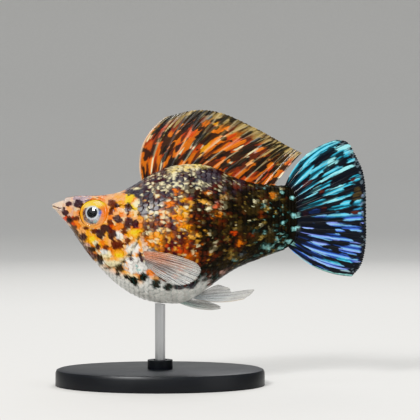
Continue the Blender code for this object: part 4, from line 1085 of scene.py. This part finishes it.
# Each fin: its rays, the two shares of a ray at which it forks and how far its branches spread, half
# the thickness of membrane and ray, then its root, its tips and the bow of its rays across the fin
DORSAL_FIN = {
    "rays": 14, "forks": (0.5, 0.82), "spread": (0.23, 0.1), "thick": 0.09, "ray": 0.15,
    "root": line_of(BACK, 28.4, 71.0, 9), "sink": (0, -1.6),
    "tips": [(0, (36.3, 28.3)), (0.14, (45.5, 30.4)), (0.28, (53.8, 29.5)), (0.44, (64.6, 24.7)),
             (0.58, (70.1, 21.8)), (0.77, (75.2, 19.0)), (1, (79.6, 16.7))],
    "bow": [(0, 7.6), (0.1, 4.6), (0.28, 2.4), (1, 0.8)],
    "sideways": lambda s, t: 1.3 * np.maximum(t, 0) * np.sin(2 * math.pi * (1.25 * s + 0.25 * t)),
}
TAIL_FIN = {
    "rays": 16, "forks": (0.34, 0.7), "spread": (0.24, 0.11), "thick": 0.09, "ray": 0.15,
    "root": [(0, (73.9, 5.6)), (0.5, (75.7, -3.5)), (1, (75.0, -13.0))], "sink": (-1.6, 0),
    "tips": [(0, (90.8, 21.0)), (0.09, (94.3, 20.2)), (0.2, (97.1, 15.6)), (0.32, (99.2, 10.8)),
             (0.44, (100, 4.8)), (0.56, (100, -2.9)), (0.67, (100, -9.2)), (0.78, (99.5, -14.7)),
             (0.9, (98.1, -19.4)), (1, (95.5, -22.6))],
    "bow": [(0, 6.1), (0.2, 2.1), (0.5, 0), (0.8, -1.5), (1, -4.8)],
    "sideways": lambda s, t: 1.6 * np.maximum(t, 0) ** 2 * np.sin(2 * math.pi * (0.8 * s + 0.12)),
}
PECTORAL_FIN = {
    "rays": 13, "forks": (0.55, 0.85), "spread": (0.2, 0.08), "thick": 0.06, "ray": 0.1,
    "root": [(0, (27.9, -14.2)), (1, (29.6, -18.0))], "sink": (-1.0, 0),
    "tips": [(0, (46.2, -17.7)), (0.2, (47.5, -19.4)), (0.4, (47.1, -21.3)), (0.6, (44.9, -23.6)),
             (0.8, (41.6, -24.6)), (1, (38.2, -24.0))],
    "bow": [(0, 2.2), (0.4, 0.6), (1, -0.6)],
    "sideways": lambda s, t: -(11.6 - 0.3 * s * s
                               + np.where(t > 0, 6.0 * t + 3.0 * t * (1 - t) ** 2, 3 * t)),
}
PELVIC_FIN = {
    "rays": 6, "forks": (0.5, 0.8), "spread": (0.2, 0.08), "thick": 0.06, "ray": 0.1,
    "root": [(0, (39.8, -30.6)), (1, (43.4, -29.8))], "sink": (-0.5, 1.6),
    "tips": [(0, (51.0, -33.1)), (0.4, (53.8, -32.5)), (0.7, (51.0, -31.3)), (1, (47.6, -30.4))],
    "bow": [(0, -1.4), (1, -0.3)],
    "sideways": lambda s, t: -(2.4 + 1.4 * t),
}
GONOPODIUM = {
    "rays": 7, "forks": (0.6, 0.85), "spread": (0.18, 0.08), "thick": 0.09, "ray": 0.2,
    "root": line_of(BELLY, 44.8, 48.4, 3), "sink": (-0.9, 1.4),
    "tips": [(0, (61.1, -29.9)), (0.17, (63.4, -28.3)), (0.34, (64.3, -26.8)), (0.5, (60.5, -27.1)),
             (0.67, (57.2, -27.6)), (0.84, (56.4, -26.3)), (1, (52.9, -25.2))],
    "bow": [(0, -2.2), (0.4, -0.8), (1, 0.3)],
    "sideways": lambda s, t: 0.0 * s * t,
}
NOTCH = 0.01  # how far the membrane's edge draws back between the rays


def fin_points(fin, s, t):
    """Points of a fin's middle sheet at shares across its root and along its rays."""
    root, tip = (stack(*(through([(k, p[axis]) for k, p in fin[line]], s) for axis in (0, 1)))
                 for line in ("root", "tips"))
    along = tip - root
    across = unit(np.stack([-along[..., 1], along[..., 0]], -1))
    bend = (root + tip) / 2 + across * through(fin["bow"], s)[..., None]
    r = np.maximum(t, 0)[..., None]
    flat = root * (1 - r) ** 2 + bend * 2 * r * (1 - r) + tip * r * r
    flat = flat - np.array(fin["sink"]) * np.minimum(t, 0)[..., None]
    return stack(flat[..., 0], fin["sideways"](s, t), flat[..., 1])


def ray_crest(fin, s, t):
    """Height of the rays above the membrane, from 0 to 1: each ray forks twice on its way out."""
    place = s * (fin["rays"] - 1)
    off = place - np.round(place)
    first, second = (spread * smooth(fork - 0.12, 1.0, t)
                     for spread, fork in zip(fin["spread"], fin["forks"]))
    breadth = 0.105 - 0.045 * np.clip(t, 0, 1)
    return np.max([hump(off, a * first + b * second, breadth) for a in (-1, 1) for b in (-1, 1)], axis=0)


def ray_branches(fin, s, t, fork, breadth):
    """1 on both branches of every ray, which part between two shares of its length."""
    place = s * (fin["rays"] - 1)
    return hump(np.abs(place - np.round(place)), 0.25 * smooth(*fork, t), breadth)


# Marks on both large fins in the order in which they lie on each other: pigment, then where each mark's
# middle is across the fin and along its rays, and its reach both ways, in thousandths
DORSAL_MARKS = [
    ("orange", [(160, 475, 34, 132), (113, 400, 12, 176), (107, 255, 11, 156), (170, 128, 13, 86),
        (68, 163, 10, 102)]), ("ember", [(220, 583, 28, 108)]), ("orange", [(158, 745, 14, 70),
        (143, 670, 10, 70)]), ("ember", [(212, 318, 17, 71)]), ("amber", [(315, 770, 16, 83)]),
    ("orange", [(312, 703, 9, 74)]), ("amber", [(370, 340, 16, 168)]), ("orange", [(410, 305, 12, 168),
        (468, 378, 15, 170)]), ("ember", [(455, 595, 16, 150)]), ("orange", [(492, 588, 14, 114)]),
    ("ember", [(413, 650, 10, 94)]), ("orange", [(360, 677, 9, 149), (540, 77, 16, 135)]),
    ("ember", [(588, 75, 10, 118)]), ("rose", [(625, 647, 17, 72)]), ("orange", [(633, 700, 13, 80)]),
    ("peach", [(682, 375, 18, 62)]), ("ember", [(750, 107, 11, 151), (863, 275, 15, 169)]),
    ("orange", [(945, 260, 24, 108), (825, 448, 16, 139)]), ("rust", [(802, 290, 13, 136),
        (425, 473, 10, 112), (415, 193, 11, 131), (357, 168, 10, 111), (55, 542, 8, 107),
        (208, 547, 9, 107)]), ("tan", [(275, 973, 10, 108), (335, 925, 8, 110), (398, 925, 10, 148),
        (398, 815, 8, 130), (450, 993, 11, 112), (505, 950, 13, 133), (685, 988, 21, 124),
        (720, 833, 16, 127), (820, 878, 22, 161), (873, 1000, 23, 145), (895, 570, 19, 151),
        (703, 690, 14, 126), (113, 818, 7, 120), (83, 685, 6, 105)]), ("slate", [(58, 978, 8, 64),
        (255, 880, 9, 54), (535, 802, 12, 97), (608, 775, 11, 79)]), ("cream", [(242, 208, 6, 108),
        (288, 422, 5, 129), (15, 595, 4, 108), (25, 670, 4, 88), (305, 247, 5, 92), (388, 480, 4, 168),
        (522, 520, 7, 77), (583, 190, 8, 71), (613, 552, 6, 120), (630, 367, 6, 101), (988, 258, 9, 116),
        (75, 175, 3, 119), (138, 128, 4, 119), (345, 435, 3, 112)]), ("black", [(305, 562, 22, 203),
        (295, 645, 21, 110), (182, 870, 41, 121), (155, 848, 26, 103), (217, 940, 23, 52),
        (323, 858, 14, 88), (330, 728, 10, 44), (68, 340, 16, 97), (20, 945, 11, 87), (35, 782, 9, 120),
        (43, 645, 6, 106), (138, 662, 6, 122), (125, 328, 9, 70), (152, 200, 14, 59), (223, 77, 34, 105),
        (163, 348, 11, 63), (238, 130, 17, 71), (295, 177, 16, 101), (393, 65, 11, 111), (492, 245, 14, 61),
        (413, 420, 7, 94), (453, 795, 16, 124), (557, 760, 24, 156), (565, 620, 29, 117),
        (620, 840, 22, 88), (575, 400, 31, 130), (628, 300, 26, 120), (545, 330, 14, 78),
        (728, 508, 31, 107), (760, 348, 21, 140), (753, 800, 45, 143), (840, 662, 36, 104),
        (772, 900, 29, 88), (993, 787, 22, 128), (618, 150, 11, 88), (728, 147, 9, 115),
        (855, 158, 10, 143), (440, 122, 9, 93), (482, 152, 8, 49), (888, 375, 14, 75), (43, 20, 10, 63),
        (25, 98, 6, 81)]),
]
TAIL_MARKS = [
    ("ice", [(33, 679, 24, 311)]), ("cyan", [(50, 623, 34, 302)]), ("ice", [(0, 599, 21, 99),
        (0, 230, 32, 110)]), ("cyan", [(11, 274, 21, 161), (116, 342, 13, 185)]),
    ("ice", [(163, 573, 20, 215)]), ("cyan", [(161, 518, 27, 130)]), ("ice", [(245, 680, 15, 230)]),
    ("cyan", [(228, 620, 20, 133)]), ("ice", [(119, 913, 23, 97)]), ("cyan", [(158, 926, 13, 66)]),
    ("ice", [(166, 980, 6, 28)]), ("cyan", [(305, 451, 16, 151)]), ("ice", [(305, 378, 16, 60)]),
    ("cyan", [(369, 641, 15, 176)]), ("ice", [(362, 634, 8, 119)]), ("cyan", [(334, 885, 7, 67),
        (210, 921, 11, 51)]), ("ice", [(440, 529, 13, 119)]), ("cyan", [(484, 731, 10, 59),
        (501, 635, 9, 133)]), ("ice", [(436, 230, 11, 65)]), ("teal", [(371, 270, 7, 85)]),
    ("azure", [(497, 315, 12, 75), (544, 405, 9, 67)]), ("cyan", [(549, 667, 7, 117)]),
    ("azure", [(574, 835, 7, 120)]), ("violet", [(607, 564, 11, 71), (661, 235, 10, 67)]),
    ("azure", [(660, 644, 10, 59), (644, 839, 9, 59)]), ("violet", [(721, 426, 11, 244)]),
    ("azure", [(731, 415, 10, 135)]), ("violet", [(779, 407, 15, 118)]), ("azure", [(824, 334, 14, 101)]),
    ("ice", [(853, 721, 11, 161)]), ("azure", [(848, 610, 19, 275)]), ("violet", [(863, 380, 9, 140)]),
    ("azure", [(894, 293, 13, 220), (951, 266, 12, 124)]), ("violet", [(941, 626, 9, 271)]),
    ("azure", [(925, 586, 10, 186)]), ("cyan", [(904, 635, 9, 110)]), ("teal", [(1000, 560, 9, 143)]),
    ("violet", [(790, 815, 8, 145)]), ("azure", [(801, 801, 10, 109)]), ("cyan", [(867, 787, 15, 93)]),
    ("violet", [(730, 865, 4, 75)]), ("azure", [(1000, 259, 13, 161)]),
    ("steel_blue", [(1000, 260, 13, 110)]), ("teal", [(994, 833, 9, 172)]),
    ("steel_blue", [(956, 853, 8, 90)]), ("violet", [(865, 920, 6, 70), (463, 950, 4, 15),
        (501, 951, 4, 16), (545, 951, 4, 16)]), ("cyan", [(361, 933, 5, 18)]),
    ("violet", [(603, 951, 4, 16)]), ("teal", [(105, 0, 28, 10), (249, 71, 22, 34), (315, 15, 24, 25),
        (504, 74, 28, 54)]), ("slate", [(680, 94, 39, 54)]), ("teal", [(666, 94, 18, 39)]),
    ("teal", [(903, 50, 27, 60)]), ("brown", [(355, 858, 15, 34), (350, 440, 17, 30), (495, 445, 14, 36),
        (500, 208, 18, 34), (540, 855, 10, 50)]), ("olive", [(450, 888, 33, 57)]),
    ("brown", [(198, 307, 35, 62)]), ("navy", [(88, 775, 24, 41), (143, 843, 25, 68), (98, 675, 26, 94),
        (107, 547, 22, 62), (200, 815, 15, 52), (283, 807, 16, 61), (185, 633, 12, 77), (302, 698, 17, 61),
        (323, 655, 13, 76), (427, 728, 12, 94)]),
]


def marked(colour, marks, s, t, ragged):
    """Streaks and blotches laid over a fin's colour, longer along the rays than across them."""
    for name, spots in marks:
        away = np.min([np.sqrt(((s - ms) / rs) ** 2 + np.abs((t - mt) / rt) ** 3)
                       for ms, mt, rs, rt in np.array(spots) / 1000], axis=0)
        colour = over(colour, name, 0.95 * smooth(1.22, 0.88, away + ragged))
    return colour


def streaks(s, t, across, along, seed):
    """Noise on a fin, drawn out along its rays."""
    return cloud(stack(s * across, t * along, 0 * s), 1.0, seed)


def dorsal_colour(s, t, crest):
    """Orange and rust between dark blotches that run along the rays, with a tan margin."""
    streak, fine = streaks(s, t, 34, 3.0, 51), streaks(s, t, 80, 7, 57)
    margin = smooth(0.8 - 0.14 * smooth(0.2, 0.6, s), 0.95, t + 0.2 * (streak - 0.5))
    colour = layered(
        "brown", ("rust", smooth(0.25, 0.5, fine)),
        ("orange", 0.9 * smooth(0.5, 0.66, streak) * smooth(0.98, 0.75, t)),
        ("ember", 0.6 * smooth(0.55, 0.75, streaks(s, t, 16, 3, 61))),
        (over("olive", "tan", smooth(0.4, 0.62, fine)), 0.92 * margin))
    colour = marked(colour, DORSAL_MARKS, s, t, 1.1 * (fine - 0.5) + 0.6 * (streak - 0.5))
    # Dark blotches in rows between the rays, more of them towards the rear
    amount = 0.66 - 0.1 * smooth(0.35, 0.75, s)
    blotch = smooth(amount, amount + 0.04, streaks(s, t, 24, 6, 63) + 0.2 * (fine - 0.5))
    branch = ray_branches(DORSAL_FIN, s, t, (0.3, 0.8), 0.13)
    colour = layered(
        colour, ("black", 0.94 * smooth(0, 0.06, t) * blotch), ("black", 0.3 * smooth(0.5, 0.1, branch)),
        ("tan", 0.3 * smooth(0.7, 1.0, branch) * smooth(0.3, 0.6, streak)))
    dark = colour.sum(-1) < 0.12
    colour = layered(
        colour, ("cream", 0.34 * smooth(0.5, 0.95, crest) * (0.3 + 0.7 * streak) * (1 - 0.85 * dark)),
        ("lip", 0.75 * smooth(0.012, 0.004, s)))
    return colour, 0.97 - 0.12 * smooth(0.9, 1.0, t) * (1 - crest)


def tail_colour(s, t, crest):
    """Black fin with shining streaks along its rays: cyan above, azure and violet below."""
    streak, fine = streaks(s, t, 36, 3.2, 77), streaks(s, t, 70, 8, 83)
    sheen = over("cyan", "azure", smooth(0.45, 0.65, s))
    colour = layered(
        "navy", ("black", 0.4 * fine),
        (sheen, 0.75 * smooth(0.6, 0.72, streak) * smooth(0.1, 0.25, t) * smooth(0.97, 0.9, t)))
    colour = marked(colour, TAIL_MARKS, s, t, 1.3 * (fine - 0.5) + 0.5 * (streak - 0.5))
    # The sheen lies along both branches of every ray, with dark membrane between them
    branch = ray_branches(TAIL_FIN, s, t, (0.2, 0.75), 0.18 + 0.04 * streak)
    colour = layered(
        colour, ("navy", 0.5 * smooth(0.62, 0.8, 1 - fine)),
        ("navy", 0.9 * smooth(0.55, 0.15, branch) * smooth(0.02, 0.2, t)))
    dots = smooth(0.68, 0.8, streaks(s, t, 60, 26, 93)) * smooth(0.9, 0.94, t)
    colour = layered(
        colour, ("ice", 0.45 * smooth(0.75, 1.0, branch) * smooth(0.12, 0.3, colour[..., 2])),
        ("steel_blue", 0.35 * dots))
    return colour, 0.98 - 0.3 * smooth(0.94, 1.0, t) * (1 - crest)


def clear_colour(tint, amount):
    """Colour of a clear, greyish fin that is tinted with a pigment near the top of its root."""
    def colour_of(s, t, crest):
        streak = streaks(s, t, 34, 2.4, 91)
        colour = layered(
            "glass", ("slate", 0.3 + 0.6 * smooth(0.4, 0.7, streak) * smooth(0.1, 0.35, s)),
            (tint, amount * smooth(0.85, 0.1, t + 0.3 * (streak - 0.5)) * smooth(0.8, 0.2, s)),
            ("plum", 0.6 * smooth(0.64, 0.76, streak) * smooth(0.02, 0.2, t) * smooth(0.9, 0.6, t)),
            ("pearl", 0.6 * smooth(0.3, 0.8, crest)), ("lip", 0.7 * smooth(0.05, 0.02, s)))
        return colour, 0.42 + 0.36 * smooth(0.25, 0.8, crest) + 0.2 * smooth(0.3, 0.0, t)
    return colour_of


def make_fin(name, node, fin, colour_of, finish, slot, per_ray, rows, mirror=False):
    """One closed sheet, thin between its rays and raised over each of them."""
    columns = per_ray * (fin["rays"] - 1) + 1
    s = np.linspace(0, 1, columns)[:, None] + np.zeros(rows + 3)
    t = np.concatenate([[-0.9, -0.45], np.linspace(0, 1, rows + 1)])[None, :] + 0 * s
    crest = ray_crest(fin, s, t)
    reach = np.where(t > 0, t * (1 - NOTCH * (1 - crest) * smooth(0.55, 1, t)), t)
    middle = fin_points(fin, s, reach)
    normal = unit(np.cross(np.gradient(middle, axis=0), np.gradient(middle, axis=1)))
    taper = 1 - 0.62 * np.clip(t, 0, 1) ** 1.5
    half = (fin["thick"] * 0.5 + fin["ray"] * crest * smooth(-0.3, 0.12, t)) * taper
    half = np.where(t < 0.02, np.maximum(half, fin["thick"]), half)[..., None]
    points = np.concatenate([middle + normal * half, middle - normal * half]).reshape(-1, 3)
    faces = slab_faces(columns, rows + 3)
    if mirror:
        points = points * (1, -1, 1)
        faces = faces[:, ::-1]
    colour, opacity = colour_of(s, t, crest)
    tone = with_opacity(colour, np.clip(opacity, 0, 1)).reshape(-1, 4)
    span = np.linalg.norm(middle[:, -1] - middle[:, 2], axis=-1).mean() * PART / MM  # mean ray, in mm
    place = stack(s, t * span).reshape(-1, 2)
    add_piece(name, points, halved(faces), finish, slot, (node,), pigment=np.concatenate([tone, tone]),
              maps=[("FinPlace", np.concatenate([place, place]))])


def make_fins():
    """Every fin, in place of the plainer solid one."""
    make_fin("dorsal_sail", "dorsal_fin", DORSAL_FIN, dorsal_colour, "fin", "orange_fin", 18, 90)
    make_fin("tail_fan", "tail_fin", TAIL_FIN, tail_colour, "fin", "blue_fin", 18, 90)
    clear = {"gonopodium_rays": ("gonopodium", GONOPODIUM, clear_colour("steel_blue", 0.7), 50, False)}
    for word, mirror in (("left", False), ("right", True)):
        clear[f"pectoral_fan_{word}"] = (
            f"pectoral_fin_{word}", PECTORAL_FIN, clear_colour("orange", 0.75), 60, mirror)
        clear[f"pelvic_fan_{word}"] = (
            f"pelvic_fin_{word}", PELVIC_FIN, clear_colour("teal", 0.6), 40, mirror)
    for name, (node, fin, colour_of, rows, mirror) in clear.items():
        make_fin(name, node, fin, colour_of, "clear_fin", "clear_fin", 14, rows, mirror)


# ---- Stand, floor, lights and camera

def finish_stand():
    """Materials and soft shading for the base and the rod, which keep their solids."""
    for name, finish in (("stand_base", "base"), ("stand_rod", "rod")):
        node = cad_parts[name]
        node.data.materials.clear()
        node.data.materials.append(FINISHES[finish])
        for polygon in node.data.polygons:
            polygon.use_smooth = True
            polygon.material_index = 0
        node.modifiers.new("weld", "WELD").merge_threshold = 1e-6
        node.modifiers.new("edges", "EDGE_SPLIT").split_angle = math.radians(28)


def make_floor():
    """Pale round floor that rises softly far behind the fish, on every side."""
    turns = 96
    angle = np.arange(turns) * 2 * math.pi / turns
    points = [(r * math.cos(a), r * math.sin(a), h) for r, h in FLOOR_RINGS for a in angle] + [(0, 0, 0)]
    faces = grid_faces(len(FLOOR_RINGS), turns, closed=True).tolist()
    faces += [((k + 1) % turns, k, len(points) - 1) for k in range(turns)]
    mesh = bpy.data.meshes.new("floor")
    mesh.from_pydata(points, [], faces)
    for polygon in mesh.polygons:
        polygon.use_smooth = True
    mesh.materials.append(FINISHES["floor"])
    floor = bpy.data.objects.new("floor", mesh)
    bpy.context.scene.collection.objects.link(floor)


def make_lights():
    """Soft key from the upper left, a fill from the right, one from above and one from behind."""
    for name, (where, size, power) in LAMPS.items():
        light = bpy.data.lights.new(name, "AREA")
        light.size = size
        light.energy = power
        lamp = bpy.data.objects.new(name, light)
        lamp.location = where
        lamp.rotation_euler = (LIT_POINT - Vector(where)).to_track_quat("-Z", "Y").to_euler()
        bpy.context.scene.collection.objects.link(lamp)
    world = bpy.data.worlds.new("studio")
    world.use_nodes = True
    background = world.node_tree.nodes["Background"]
    background.inputs["Color"].default_value = opaque("#eceff2")
    background.inputs["Strength"].default_value = 0.68
    bpy.context.scene.world = world
    # A view that keeps the pigments' own colours
    bpy.context.scene.view_settings.view_transform = "Khronos PBR Neutral"


def make_camera():
    """Level camera that sees the left flank, framed as the photograph is."""
    data = bpy.data.cameras.new("camera")
    data.lens, data.sensor_width = LENS, SENSOR
    data.clip_start, data.clip_end = 0.01, 10
    camera = bpy.data.objects.new("camera", data)
    camera.location = (VIEW_AT, -VIEW_WIDTH * LENS / SENSOR, VIEW_HEIGHT)
    camera.rotation_euler = (math.pi / 2, 0, 0)
    bpy.context.scene.collection.objects.link(camera)
    bpy.context.scene.camera = camera


make_camera()
make_lights()
make_floor()
make_skin()
make_scales()
make_eyes()
make_fins()
finish_stand()
